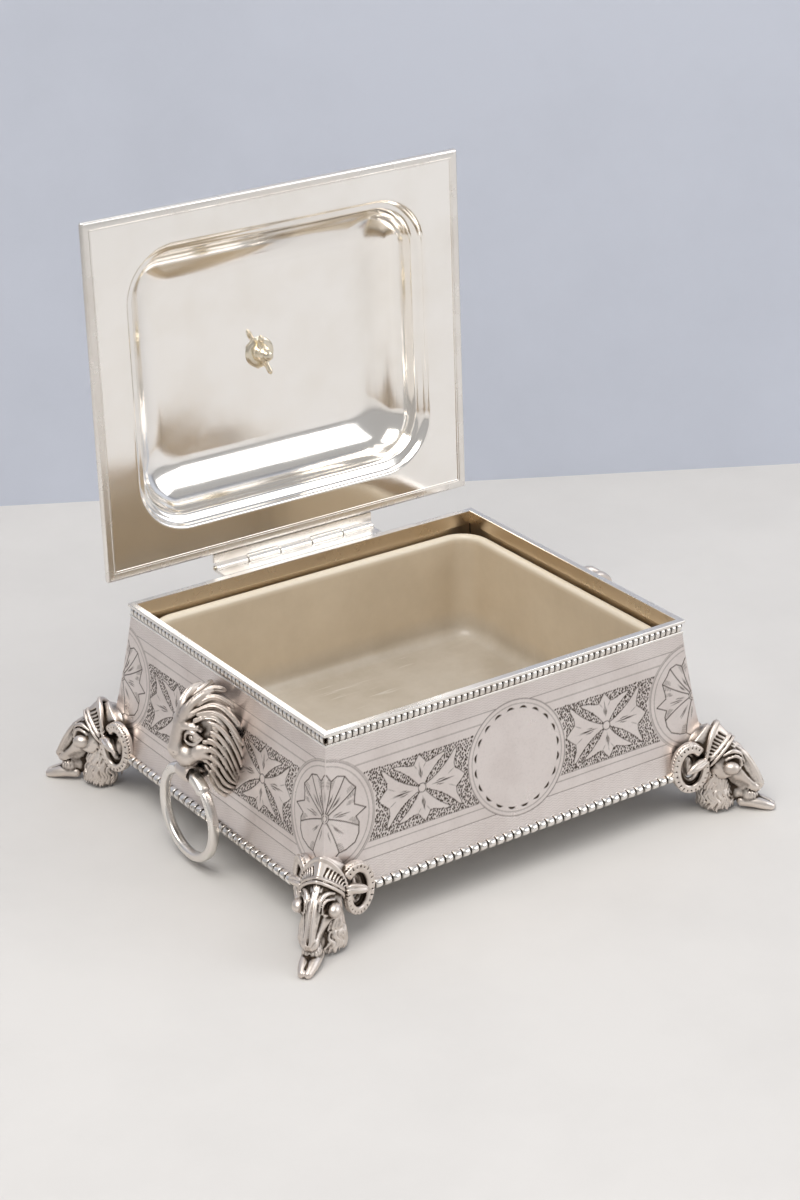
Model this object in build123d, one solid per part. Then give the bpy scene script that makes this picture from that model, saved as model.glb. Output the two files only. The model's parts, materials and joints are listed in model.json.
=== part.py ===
from build123d import *
from math import cos, pi, radians, sin
import os

os.makedirs("parts", exist_ok=True)

# Millimetres, +Z up, the long side along X, the hinge at +Y. Built about the middle of the box, then moved
# so that the origin lies under the middle of the open box, feet and knob included.

# Rim and walls
rim_length = 130.0
rim_width = 109.6
rim_height = 61.7
rim_plate = 1.0
rim_strip = 2.2
rim_band = 0.9
fillet_height = 0.8
fillet_outset = 1.8
bead_band = 2.6
wall_middle_drop = 21.3
wall_bottom = 15.0
wall_thickness = 1.2
top_inset = 0.6
middle_flare = 2.2
bottom_flare = 5.8
seat_depth = 20.0

# Base
base_bottom = 12.0
base_strip = 3.4
plate_thickness = 1.2
plate_gap = 0.3

# Bead rows
small_bead = 2.1
small_bead_depth = 1.1
large_bead = 3.1
large_bead_depth = 2.0
bead_web = 0.3
bead_run_end = 14.0
bead_seat = 0.05

# Liner
liner_gap = 0.9
liner_drop = 5.9
liner_wall = 2.6
liner_floor = 4.2
liner_corner = 10.0
corner_facets = 4
liner_foot_inset = 6.0
liner_foot_height = 0.8

# Lid, drawn shut and then swung open
lid_overhang_x = 2.8
lid_overhang_y = 2.0
lid_lift = 0.2
lid_border = 3.2
lid_border_height = 2.0
lid_border_round = 0.9
lid_sheet = 1.0
lid_sheet_recess = 0.25
tray_margin_x = 13.3
tray_margin_y = 11.3
tray_corner = 18.0
tray_height = 15.0
tray_run = 14.0
tray_steps = 3
tray_step = 1.6
lid_open = 92.36

# Hinge
hinge_length = 59.7
hinge_knuckles = 5
hinge_reach = 6.4
knuckle_radius = 1.4
pin_radius = 0.65
running_gap = 0.05
knuckle_gap = 0.25
leaf_thickness = 1.0
leaf_lift = 0.15
pin_end = 0.4
knuckle_facets = 10

# Knob: a fish on a low round base, held through the lid by stud, washer and wing nut
knob_base_radius = 10.0
knob_base_height = 3.0
fish_length = 38.0
fish_height = 12.0
fish_thickness = 7.5
stud_radius = 1.5
stud_gap = 0.1
stud_end = 1.6
washer_radius = 5.0
washer_thickness = 0.8
round_facets = 18
nut_radius = 2.5
nut_height = 4.0
wing_span = 14.0
wing_thickness = 1.5
wing_tilt = 13.0

# Cast pieces: the rows that give their forms are in this unit
cast_unit = 1.0

# Lion masks and drop rings
mask_drop = 18.8
mask_half_width = 13.0
mask_half_height = 18.3
mane_locks = 9
lug_reach = 12.9
lug_drop = 7.1
lug_radius = 3.5
lug_length = 6.4
ring_radius = 13.9
ring_wire = 1.6
ring_facets = 24
wire_facets = 6
ring_play = 0.7
collar_radius = 2.2
collar_angle = 32.0
collar_length = 5.0

# Ram-head feet, on the diagonals: u runs outward from the foot of the corner, w to its left
head_rise = 19.0
head_tilt = -41.0
head_facets = 8
horn_root_w = 6.5
horn_spread = 4.6
horn_middle_u = -5.0
horn_middle_z = 16.2
horn_half_width = 4.3
horn_half_height = 5.7
horn_wire = 1.5
horn_turn = 375.0
horn_steps = 9
crest_steps = 5
foot_pad = 9.0
foot_pad_thickness = 1.5

wall_top = rim_height - rim_plate - bead_band - fillet_height
wall_middle = wall_top - wall_middle_drop
liner_top = rim_height - liner_drop
mask_middle = wall_top - mask_drop
lug_height = mask_middle - lug_drop
corner_x = rim_length / 2 + bottom_flare
corner_y = rim_width / 2 + bottom_flare
lid_plane = rim_height + lid_lift
lid_length = rim_length + 2 * lid_overhang_x
lid_width = rim_width + 2 * lid_overhang_y
tray_length = lid_length - 2 * tray_margin_x
tray_width = lid_width - 2 * tray_margin_y
hinge_y = rim_width / 2 + hinge_reach
hinge_line = Axis((0, hinge_y, lid_plane), (1, 0, 0))

SIDES = {
    "front": (Vector(0, -1, 0), rim_width / 2, rim_length / 2),
    "back": (Vector(0, 1, 0), rim_width / 2, rim_length / 2),
    "left": (Vector(-1, 0, 0), rim_length / 2, rim_width / 2),
    "right": (Vector(1, 0, 0), rim_length / 2, rim_width / 2),
}
CORNERS = {
    "front_left": (-1, -1),
    "front_right": (1, -1),
    "back_left": (-1, 1),
    "back_right": (1, 1),
}


def joined(solids):
    """One solid from overlapping ones."""
    return solids[0].fuse(*solids[1:]).clean()


def skin(rings, closed=False):
    """A faceted solid through rings of points, capped at both ends or closed on itself."""
    pairs = list(zip(rings, rings[1:]))
    if closed:
        pairs.append((rings[-1], rings[0]))
    faces = []
    for low, high in pairs:
        for i in range(len(low)):
            j = (i + 1) % len(low)
            faces.append(Face(Wire.make_polygon([low[i], low[j], high[j]])))
            faces.append(Face(Wire.make_polygon([low[i], high[j], high[i]])))
    if not closed:
        faces += [Face(Wire.make_polygon(ring)) for ring in (rings[0], rings[-1])]
    solid = Solid(Shell(faces))
    if solid.volume < 0:
        solid = Solid(solid.wrapped.Reversed())
    return solid


def oval(middle, across, up, half_width, half_height, facets):
    """A ring of points on an oval about a middle point."""
    steps = [2 * pi * i / facets for i in range(facets)]
    return [middle + across * (half_width * cos(a)) + up * (half_height * sin(a)) for a in steps]


def cast_oval(middle, across, up, half_width, half_height, facets):
    """An oval of a cast piece, given in the cast unit."""
    return oval(middle * cast_unit, across, up, half_width * cast_unit, half_height * cast_unit, facets)


def frame(length, width, strip, low, high):
    """A rectangular ring of strip, its outside length by width."""
    outside = Box(length, width, high - low)
    inside = Box(length - 2 * strip, width - 2 * strip, high - low)
    return Pos(0, 0, (low + high) / 2) * (outside - inside)


def side_plane(outward, distance, height):
    """The plan of one side: x along it, y outward."""
    origin = outward * distance + Vector(0, 0, height)
    return Plane(origin=origin, x_dir=outward.cross(Vector(0, 0, 1)), z_dir=(0, 0, 1))


def wall(side, thickness):
    """One flared wall, mitred at both ends."""
    outward, half_depth, half_length = SIDES[side]
    outside = ThreePointArc(
        (half_depth + bottom_flare, wall_bottom),
        (half_depth + middle_flare, wall_middle),
        (half_depth - top_inset, wall_top),
    )
    inside = ThreePointArc(
        (half_depth - top_inset - thickness, wall_top),
        (half_depth + middle_flare - thickness, wall_middle),
        (half_depth + bottom_flare - thickness, wall_bottom),
    )
    outline = outside + Line(outside @ 1, inside @ 0) + inside + Line(inside @ 1, outside @ 0)
    section = Plane(origin=(0, 0, 0), x_dir=outward, z_dir=outward.cross(Vector(0, 0, 1)))
    run = extrude(section * make_face(outline), half_length + 2 * bottom_flare, both=True)
    reach_in = thickness + 2 * top_inset
    reach_out = 2 * bottom_flare
    plan = Polyline(
        (-half_length - reach_out, reach_out),
        (half_length + reach_out, reach_out),
        (half_length - reach_in, -reach_in),
        (-half_length + reach_in, -reach_in),
        close=True,
    )
    mitre = extrude(side_plane(outward, half_depth, 0) * make_face(plan), rim_height)
    return run & mitre


def bead_row(side, inset, trim, pitch, depth, low, high):
    """The row of beads on one side, which stops short of the corners, as ridges with notches between."""
    outward, half_depth, half_length = SIDES[side]
    run = 2 * (half_length - trim)
    count = round(run / pitch)
    step = run / count
    points = [(-run / 2, 0), (-run / 2, bead_web)]
    for i in range(count):
        points.append(((i + 0.5) * step - run / 2, depth))
        points.append(((i + 1) * step - run / 2, bead_web))
    points.append((run / 2, 0))
    outline = make_face(Polyline(*points, close=True))
    return extrude(side_plane(outward, half_depth - inset, low) * outline, high - low)


def rounded_ring(length, width, corner, height):
    """A ring of points on a rectangle with rounded corners."""
    ring = []
    for quarter, (x, y) in enumerate(((1, 1), (-1, 1), (-1, -1), (1, -1))):
        middle = Vector(x * (length / 2 - corner), y * (width / 2 - corner), height)
        for i in range(corner_facets + 1):
            turn = radians(90 * (quarter + i / corner_facets))
            ring.append(middle + Vector(corner * cos(turn), corner * sin(turn), 0))
    return ring


def rounded_block(length, width, corner, low, high):
    """An upright block with rounded corners."""
    return skin([rounded_ring(length, width, corner, low), rounded_ring(length, width, corner, high)])


def liner():
    """A straight-sided dish with rounded corners and a low foot rim."""
    length = rim_length - 2 * (rim_strip + liner_gap)
    width = rim_width - 2 * (rim_strip + liner_gap)
    bottom = wall_bottom + plate_thickness
    floor = bottom + liner_floor
    dish = rounded_block(length, width, liner_corner, bottom, liner_top)
    hollow = rounded_block(
        length - 2 * liner_wall, width - 2 * liner_wall, liner_corner - liner_wall, floor, liner_top
    )
    under = rounded_block(
        length - 2 * liner_foot_inset,
        width - 2 * liner_foot_inset,
        liner_corner - liner_wall,
        bottom,
        bottom + liner_foot_height,
    )
    return dish - hollow - under


def tray(grow, low):
    """The raised middle of the lid as a solid block, its sides coved like a quarter of an oval."""
    rings = []
    for i in range(tray_steps + 1):
        turn = radians(90 * i / tray_steps)
        inset = tray_run * (1 - cos(turn)) - grow
        rise = (tray_height + grow) * sin(turn)
        corner = tray_corner - inset / 2
        rings.append(rounded_ring(tray_length - 2 * inset, tray_width - 2 * inset, corner, low + rise))
    return skin(rings)


def lid_panel():
    """One sheet: a flat flange and the raised tray, with a sloped step between them."""
    low = lid_plane + lid_sheet_recess
    high = low + lid_sheet
    sheet = Box(lid_length - 2 * lid_border, lid_width - 2 * lid_border, lid_sheet)
    flange = Pos(0, 0, (low + high) / 2) * sheet
    step_rings = []
    for grow, height in ((lid_sheet + tray_step, high), (lid_sheet, high + tray_step)):
        length = tray_length + 2 * grow
        width = tray_width + 2 * grow
        step_rings.append(rounded_ring(length, width, tray_corner + grow, height))
    hole = Pos(0, 0, low + tray_height) * Cylinder(stud_radius + stud_gap, 4 * lid_sheet)
    return flange + skin(step_rings) + tray(lid_sheet, low) - tray(0, low) - hole


def lid_edge():
    """The border moulding round the lid, its outer edges rolled."""
    block = Box(lid_length, lid_width, lid_border_height)
    levels = block.edges().group_by(Axis.Z)
    rolled = fillet(levels[0] + levels[-1], lid_border_round)
    opening = Box(lid_length - 2 * lid_border, lid_width - 2 * lid_border, lid_border_height)
    return Pos(0, 0, lid_plane + lid_border_height / 2) * (rolled - opening)


def knuckle_spans(first):
    """The x spans of every second knuckle, starting with knuckle first."""
    step = hinge_length / hinge_knuckles
    starts = [-hinge_length / 2 + i * step for i in range(first, hinge_knuckles, 2)]
    return [(x + knuckle_gap / 2, x + step - knuckle_gap / 2) for x in starts]


def barrel(radius, start, end):
    """A round bar on the hinge line."""
    bar = Rot(0, 90, 0) * Cylinder(radius, end - start)
    return Pos((start + end) / 2, hinge_y, lid_plane) * bar


def hinge_leaf(first, edge, low):
    """A leaf with its knuckles, drawn with the lid shut."""
    clear = knuckle_radius + knuckle_gap
    middle = low + leaf_thickness / 2
    plate = Box(hinge_length, hinge_y - clear - edge, leaf_thickness)
    leaf = Pos(0, (edge + hinge_y - clear) / 2, middle) * plate
    outline = Plane.YZ * RegularPolygon(knuckle_radius, knuckle_facets)
    for start, end in knuckle_spans(first):
        leaf += Pos((start + end) / 2, hinge_y - clear / 2, middle) * Box(end - start, clear, leaf_thickness)
        leaf += Pos(start, hinge_y, lid_plane) * extrude(outline, end - start)
    return leaf - barrel(pin_radius + running_gap, -hinge_length, hinge_length)


def hinge_pin():
    """The hinge pin, which stands a little out of the last knuckles."""
    return barrel(pin_radius, -hinge_length / 2 - pin_end, hinge_length / 2 + pin_end)


def knob_base(seat):
    """A low turned base for the knob."""
    foot = extrude(RegularPolygon(knob_base_radius, round_facets), 0.3 * knob_base_height)
    rise = extrude(RegularPolygon(0.9 * knob_base_radius, round_facets), knob_base_height, taper=45)
    return Pos(0, 0, seat) * (foot + rise - Cylinder(stud_radius, 4 * knob_base_height))


def fish(seat):
    """A fish that lies on its belly along X, its tail turned up."""
    body = [
        (-0.50, 0.36, 0.05, 0.12),
        (-0.44, 0.36, 0.38, 0.30),
        (-0.32, 0.42, 0.75, 0.66),
        (-0.16, 0.46, 1.00, 0.92),
        (0.02, 0.46, 0.96, 0.90),
        (0.18, 0.45, 0.66, 0.66),
        (0.30, 0.52, 0.36, 0.38),
        (0.38, 0.66, 0.16, 0.24),
    ]
    across = Vector(0, 1, 0)
    up = Vector(0, 0, 1)
    rings = []
    for along, rise, wide, tall in body:
        middle = Vector(along * fish_length, 0, seat + rise * fish_height)
        rings.append(oval(middle, across, up, wide * fish_thickness / 2, tall * fish_height / 2, 8))
    trunk = skin(rings)
    tail_outline = Polyline(
        (0.36 * fish_length, seat + 0.58 * fish_height),
        (0.47 * fish_length, seat + 0.45 * fish_height),
        (0.46 * fish_length, seat + 0.95 * fish_height),
        (0.56 * fish_length, seat + 1.35 * fish_height),
        (0.42 * fish_length, seat + 1.25 * fish_height),
        (0.34 * fish_length, seat + 0.75 * fish_height),
        close=True,
    )
    fin_outline = Polyline(
        (-0.20 * fish_length, seat + 0.85 * fish_height),
        (0.16 * fish_length, seat + 0.75 * fish_height),
        (0.12 * fish_length, seat + 1.05 * fish_height),
        (-0.12 * fish_length, seat + 1.18 * fish_height),
        close=True,
    )
    thickness = 0.16 * fish_thickness
    tail = extrude(Plane.XZ * make_face(tail_outline), thickness, both=True)
    fin = extrude(Plane.XZ * make_face(fin_outline), thickness / 2, both=True)
    foot = Pos(0, 0, seat) * extrude(RegularPolygon(0.3 * knob_base_radius, 8), 0.2 * fish_height)
    return joined([trunk, tail.solid(), fin.solid(), foot.solid()])


def wing_nut(top):
    """A round hub with two upright wings, hanging below the washer."""
    hub = Pos(0, 0, -nut_height / 2) * extrude(RegularPolygon(nut_radius, 12), nut_height)
    wings = []
    for way in (-1, 1):
        outline = Polyline(
            (way * 0.4 * nut_radius, -0.3 * nut_height),
            (way * 0.4 * wing_span, -0.75 * nut_height),
            (way * 0.5 * wing_span, -0.6 * nut_height),
            (way * 0.5 * wing_span, -0.2 * nut_height),
            (way * 0.4 * wing_span, 0.05 * nut_height),
            (way * 0.4 * nut_radius, 0.25 * nut_height),
            close=True,
        )
        wings.append(extrude(Plane.XZ * make_face(outline), wing_thickness / 2, both=True))
    nut = hub + wings[0] + wings[1] - Cylinder(stud_radius, 4 * nut_height)
    return Pos(0, 0, top - nut_height / 2) * Rot(0, 0, 90 - wing_tilt) * nut


def drop_ring():
    """A drop ring that hangs from its top, in the plane x = 0, with two collars beside the lug."""
    rings = []
    for i in range(ring_facets):
        turn = 2 * pi * i / ring_facets
        away = Vector(0, sin(turn), cos(turn))
        middle = away * ring_radius - Vector(0, 0, ring_radius)
        rings.append(oval(middle, away, Vector(1, 0, 0), ring_wire, ring_wire, wire_facets))
    hoop = skin(rings, closed=True)
    collars = []
    for way in (-1, 1):
        turn = way * radians(collar_angle)
        away = Vector(0, sin(turn), cos(turn))
        along = Vector(0, cos(turn), -sin(turn))
        middle = away * ring_radius - Vector(0, 0, ring_radius)
        ends = [middle - along * (collar_length / 2), middle + along * (collar_length / 2)]
        rings = [oval(end, away, Vector(1, 0, 0), collar_radius, collar_radius, wire_facets) for end in ends]
        collars.append(skin(rings))
    return joined([hoop] + collars)


def mane_lock(turn):
    """One lock of the mane, from the face out to the edge of the mask."""
    middle = Vector(0, 0, mask_middle)
    way = Vector(0, cos(turn) * mask_half_width, sin(turn) * mask_half_height)
    side = Vector(0, -sin(turn), cos(turn))
    rows = [(7.0, 0.50, 2.9), (5.5, 0.80, 3.8), (0.8, 1.0, 1.5)]
    out = Vector(1, 0, 0)
    lock = []
    for x, share, wide in rows:
        place = middle + way * share + out * (x * cast_unit)
        lock.append(oval(place, side, out, wide * cast_unit, 1.9 * cast_unit, 5))
    return skin(lock)


def cross_bar(radius, facets, length):
    """A prism along Y through the lug."""
    return Pos(lug_reach, length / 2, lug_height) * extrude(Plane.XZ * RegularPolygon(radius, facets), length)


def lion_mask():
    """A lion's mask on the plane x = 0, facing +X, with a bored lug below the muzzle."""
    across = Vector(0, 1, 0)
    up = Vector(0, 0, 1)
    face_rows = [
        (-4.0, 2.5, 9.5, 12.0),
        (8.0, 4.7, 8.0, 8.4),
        (12.5, 4.5, 5.8, 6.2),
        (15.0, 1.9, 4.8, 5.8),
        (18.2, 0.3, 2.2, 2.8),
    ]
    chin_rows = [(2.0, -2.5, 4.0, 5.0), (9.0, -5.0, 3.6, 4.0), (12.9, -4.1, 3.2, 3.6)]
    pieces = []
    for rows, facets in ((face_rows, 8), (chin_rows, 6)):
        rings = []
        for x, rise, wide, tall in rows:
            place = Vector(x * cast_unit, 0, mask_middle + rise * cast_unit)
            rings.append(oval(place, across, up, wide * cast_unit, tall * cast_unit, facets))
        pieces.append(skin(rings))
    backing = []
    for x, share in ((-4.0, 0.86), (2.0, 0.86), (5.0, 0.60)):
        half_width = share * mask_half_width
        half_height = share * mask_half_height
        middle = Vector(x * cast_unit, 0, mask_middle)
        backing.append(oval(middle, across, up, half_width, half_height, mane_locks))
    pieces.append(skin(backing))
    for i in range(mane_locks):
        pieces.append(mane_lock(2 * pi * i / mane_locks - pi / 2))
    for way in (-1, 1):
        ear = []
        for x, y, rise, size in ((6.0, 7.5, 11.5, 2.6), (9.5, 8.9, 14.5, 1.4)):
            place = Vector(x * cast_unit, way * y * cast_unit, mask_middle + rise * cast_unit)
            ear.append(oval(place, across, up, size * cast_unit, size * cast_unit, 5))
        pieces.append(skin(ear))
    pieces.append(cross_bar(lug_radius, 10, lug_length).solid())
    return joined(pieces) - cross_bar(ring_wire + ring_play, 12, 2 * ring_radius)


def head_point(along, rise, sideways=0.0):
    """A point of a ram's head: along its face line, above it, and to the left."""
    tilt = radians(head_tilt)
    u = along * cos(tilt) - rise * sin(tilt)
    z = along * sin(tilt) + rise * cos(tilt)
    return Vector(u, sideways, z) * cast_unit + Vector(0, 0, head_rise)


def head_skin(rows, facets):
    """A skin along the head's face line, from rows of along, rise, half width and half height."""
    across = Vector(0, 1, 0)
    up = head_point(0, 1) - head_point(0, 0)
    rings = []
    for along, rise, wide, tall in rows:
        rings.append(oval(head_point(along, rise), across, up, wide * cast_unit, tall, facets))
    return skin(rings)


def horn(way):
    """A curled horn beside the head, from the diadem back, down and forward again."""
    rings = []
    for i in range(horn_steps):
        share = i / (horn_steps - 1)
        turn = radians(40 + horn_turn * share)
        size = horn_wire * (1 - 0.45 * share)
        out = Vector(cos(turn), 0, sin(turn))
        middle = Vector(
            horn_middle_u + horn_half_width * (1 - 0.16 * share) * cos(turn),
            way * (horn_root_w + horn_spread * share**0.7),
            horn_middle_z + horn_half_height * (1 - 0.16 * share) * sin(turn),
        )
        rings.append(oval(middle, out, Vector(0, 1, 0), size, size, 5))
    return skin(rings)


def diadem():
    """A band round the brow and a crest that is tallest in the middle."""
    band = head_skin([(0.8, 1.0, 7.0, 7.2), (2.9, 1.2, 6.8, 7.3)], head_facets)
    rings = []
    for i in range(crest_steps):
        turn = radians(-78 + 156 * i / (crest_steps - 1))
        height = 1.2 + 4.2 * cos(turn)
        base_e = 1.0 + 7.2 * cos(turn)
        base_w = 7.0 * sin(turn)
        top_e = 1.0 + 8.2 * cos(turn)
        top_w = 7.4 * sin(turn)
        rings.append(
            [
                head_point(1.2, base_e - 1.2 * cos(turn), base_w - 1.2 * sin(turn)),
                head_point(1.2, base_e, base_w),
                head_point(1.2 - height, top_e, top_w),
                head_point(1.2 - height, top_e - 1.2 * cos(turn), top_w - 1.2 * sin(turn)),
            ]
        )
    return [band, skin(rings)]


def beard():
    """Locks of wool that hang from the throat to the ground."""
    flat = Vector(1, 0, 0)
    across = Vector(0, 1, 0)
    core_rows = [(14.0, 0.0, 4.0, 5.6), (1.2, 2.6, 4.6, 5.6)]
    core = [cast_oval(Vector(u, 0, z), flat, across, deep, wide, 6) for z, u, deep, wide in core_rows]
    pieces = [skin(core)]
    rows = [(10.0, 4.0, 0.8, 1.8), (5.0, 5.6, 1.0, 2.0), (-0.3, 6.2, 1.0, 0.9)]
    for w in (-4.4, 0.0, 4.4):
        lock = []
        for z, u, spread, size in rows:
            lock.append(cast_oval(Vector(u, w * spread, z), flat, across, size, size, 4))
        pieces.append(skin(lock))
    return pieces


def hoof():
    """A shaggy fetlock and two toes with flat soles."""
    across = Vector(0, 1, 0)
    up = Vector(0, 0, 1)
    cuff_rows = [(6.0, 5.4, 3.0, 3.4), (11.0, 4.2, 2.9, 3.3), (14.2, 2.8, 2.5, 2.9)]
    pieces = [skin([cast_oval(Vector(u, 0, z), across, up, wide, tall, 6) for u, z, wide, tall in cuff_rows])]
    for way in (-1, 1):
        toe_rows = [(12.5, 2.2, 1.3, 2.6), (16.5, 1.7, 1.25, 2.1), (21.2, 0.0, 0.6, 0.8)]
        toe = [cast_oval(Vector(u, way * 1.2, z), across, up, wide, tall, 5) for u, z, wide, tall in toe_rows]
        pieces.append(skin(toe))
    return pieces


def ram_foot():
    """A ram's head, beard and hoof, about the foot of the corner, facing +X."""
    skull_rows = [
        (-6.0, 0.0, 5.0, 6.2),
        (-1.0, 0.8, 6.2, 6.5),
        (4.0, 1.2, 6.2, 6.4),
        (9.0, 2.0, 4.5, 5.7),
        (14.0, 2.4, 2.9, 4.0),
        (18.6, 2.2, 2.3, 2.1),
        (20.2, 1.6, 1.3, 1.0),
    ]
    jaw_rows = [(6.0, -3.0, 3.6, 3.4), (12.0, -1.6, 2.5, 2.4), (19.0, -0.9, 1.5, 1.1)]
    pieces = [head_skin(skull_rows, head_facets), head_skin(jaw_rows, 6)]
    pieces += diadem()
    across = Vector(0, 1, 0)
    up = Vector(0, 0, 1)
    neck_rows = [(-9.0, 18.5, 4.5, 7.0), (-2.0, 18.5, 6.0, 7.2), (2.0, 17.0, 5.6, 6.0)]
    neck = [cast_oval(Vector(u, 0, z), across, up, wide, tall, 6) for u, z, wide, tall in neck_rows]
    pieces.append(skin(neck))
    for way in (-1, 1):
        pieces.append(horn(way))
        ear_rows = [(-1.4, 6.0, 17.0, 0.9), (-3.4, 8.4, 16.3, 1.6), (-7.0, 10.2, 14.6, 0.4)]
        ear = [cast_oval(Vector(u, way * w, z), across, up, size, size, 4) for u, w, z, size in ear_rows]
        pieces.append(skin(ear))
    pieces += beard() + hoof()
    pad = Box(1.6 * foot_pad, foot_pad, foot_pad_thickness)
    return joined(pieces + [(Pos(-foot_pad / 2, 0, base_bottom - foot_pad_thickness / 2) * pad).solid()])


def stand_foot(foot, corner, body):
    """A foot on one corner, cut to seat on the box and flat on the ground."""
    x, y = CORNERS[corner]
    plane = Plane(origin=(x * corner_x, y * corner_y, 0), x_dir=(x, y, 0), z_dir=(0, 0, 1))
    placed = plane.location * foot - body
    placed -= Pos(0, 0, -base_bottom / 2) * Box(4 * corner_x, 4 * corner_y, base_bottom)
    return placed


def hang_mask(mask, way):
    """A mask on a short side, cut to seat on the wall."""
    face = Pos(corner_x - bottom_flare, 0, 0) * mask
    return Rot(0, 0, 90 - 90 * way) * face - wall("right" if way > 0 else "left", seat_depth)


base_length = 2 * corner_x
base_width = 2 * corner_y
band_low = wall_top + fillet_height
band_high = rim_height - rim_plate
rim_levels = (
    (0, band_high, rim_height),
    (small_bead_depth, band_low, band_high),
    (rim_strip - fillet_outset, wall_top, band_low),
)
plate_edge = wall_thickness + plate_gap
parts = {}

for side in SIDES:
    parts[side + "_wall"] = wall(side, wall_thickness)
    parts["upper_beading_" + side] = bead_row(
        side,
        small_bead_depth,
        small_bead_depth,
        small_bead,
        small_bead_depth - bead_seat,
        band_low,
        band_high,
    )
    parts["lower_beading_" + side] = bead_row(
        side,
        -bottom_flare,
        bead_run_end - bottom_flare,
        large_bead,
        large_bead_depth,
        base_bottom,
        wall_bottom,
    )
rim_rings = []
for inset, low, high in rim_levels:
    rim_rings.append(frame(rim_length - 2 * inset, rim_width - 2 * inset, rim_strip - inset, low, high))
parts["top_rim"] = rim_rings[0] + rim_rings[1] + rim_rings[2]
parts["base_moulding"] = frame(base_length, base_width, base_strip, base_bottom, wall_bottom)
plate = Box(base_length - 2 * plate_edge, base_width - 2 * plate_edge, plate_thickness)
parts["base_plate"] = Pos(0, 0, wall_bottom + plate_thickness / 2) * plate
parts["glass_liner"] = liner()

body = Pos(0, 0, (base_bottom + wall_bottom) / 2) * Box(base_length, base_width, wall_bottom - base_bottom)
for side in SIDES:
    body += wall(side, seat_depth)
foot = ram_foot()
for corner in CORNERS:
    parts["foot_" + corner] = stand_foot(foot, corner, body)

mask = lion_mask()
ring = drop_ring()
for name, way in (("left", -1), ("right", 1)):
    parts["lion_mask_" + name] = hang_mask(mask, way)
    parts["ring_handle_" + name] = Pos(way * (rim_length / 2 + lug_reach), 0, lug_height) * ring

parts["hinge_box_leaf"] = hinge_leaf(0, rim_width / 2, rim_height - leaf_thickness)

shut = {}
tray_top = lid_plane + lid_sheet_recess + tray_height
seat = tray_top + lid_sheet
shut["lid_panel"] = lid_panel()
shut["lid_border"] = lid_edge()
shut["hinge_lid_leaf"] = hinge_leaf(1, lid_width / 2, lid_plane + leaf_lift)
shut["hinge_pin"] = hinge_pin()
shut["knob_base"] = knob_base(seat)
shut["fish_knob"] = fish(seat + knob_base_height)
washer = extrude(RegularPolygon(washer_radius, round_facets), washer_thickness)
washer -= Cylinder(stud_radius + stud_gap, 4 * washer_thickness)
shut["knob_washer"] = Pos(0, 0, tray_top - washer_thickness) * washer
nut_top = tray_top - washer_thickness
shut["wing_nut"] = wing_nut(nut_top)
stud_low = nut_top - nut_height - stud_end
stud_high = seat + knob_base_height
shut["knob_stud"] = Pos(0, 0, (stud_low + stud_high) / 2) * Cylinder(stud_radius, stud_high - stud_low)
for name, shape in shut.items():
    parts[name] = shape.rotate(hinge_line, -lid_open)

boxes = [shape.bounding_box() for shape in parts.values()]
middle_y = (min(b.min.Y for b in boxes) + max(b.max.Y for b in boxes)) / 2
for name, shape in parts.items():
    export_step(Pos(0, -middle_y, 0) * shape, "parts/" + name + ".step")
print("hinge line at y", round(hinge_y - middle_y, 4), "z", lid_plane)
print("ring pivots at x", rim_length / 2 + lug_reach, "y", round(-middle_y, 4), "z", lug_height)
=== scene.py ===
import json
import math
import bpy
import numpy as np
from mathutils import Euler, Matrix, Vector


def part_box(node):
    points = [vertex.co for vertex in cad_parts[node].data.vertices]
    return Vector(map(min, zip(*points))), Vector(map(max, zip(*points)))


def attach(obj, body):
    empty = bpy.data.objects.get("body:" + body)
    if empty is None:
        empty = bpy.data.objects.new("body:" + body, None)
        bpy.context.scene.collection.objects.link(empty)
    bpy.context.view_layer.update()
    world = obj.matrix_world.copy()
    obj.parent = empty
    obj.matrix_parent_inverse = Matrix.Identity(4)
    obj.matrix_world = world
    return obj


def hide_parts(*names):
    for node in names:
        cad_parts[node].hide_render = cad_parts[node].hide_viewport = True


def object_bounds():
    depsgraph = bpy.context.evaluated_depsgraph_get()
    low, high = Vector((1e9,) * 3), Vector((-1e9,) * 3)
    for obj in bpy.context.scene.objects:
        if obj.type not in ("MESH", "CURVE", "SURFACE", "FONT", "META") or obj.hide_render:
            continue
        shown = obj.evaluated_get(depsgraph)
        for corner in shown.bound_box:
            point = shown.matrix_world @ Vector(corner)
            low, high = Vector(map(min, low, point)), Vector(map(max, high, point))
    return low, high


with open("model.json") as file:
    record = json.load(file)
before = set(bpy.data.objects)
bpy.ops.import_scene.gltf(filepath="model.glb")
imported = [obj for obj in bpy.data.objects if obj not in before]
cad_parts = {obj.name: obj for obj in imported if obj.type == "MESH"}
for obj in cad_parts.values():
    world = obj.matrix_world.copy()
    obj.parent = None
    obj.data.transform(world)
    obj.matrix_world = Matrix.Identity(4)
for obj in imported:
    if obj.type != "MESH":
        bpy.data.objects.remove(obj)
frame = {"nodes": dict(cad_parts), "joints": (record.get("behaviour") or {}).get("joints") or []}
cad_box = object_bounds()
nodes = frame["nodes"]

# Sizes are in millimetres about the middle of the box; make_mesh turns them into the frame's metres.
MM = 0.001
liner_low, liner_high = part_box("glass_liner")
MIDDLE = Vector((0.0, (liner_low.y + liner_high.y) / 2 / MM, 0.0))
rng = np.random.default_rng(7)


def node_box(name):
    """Lowest and highest corner of a CAD node, in millimetres about the middle of the box."""
    low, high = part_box(name)
    return low / MM - MIDDLE, high / MM - MIDDLE


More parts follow.
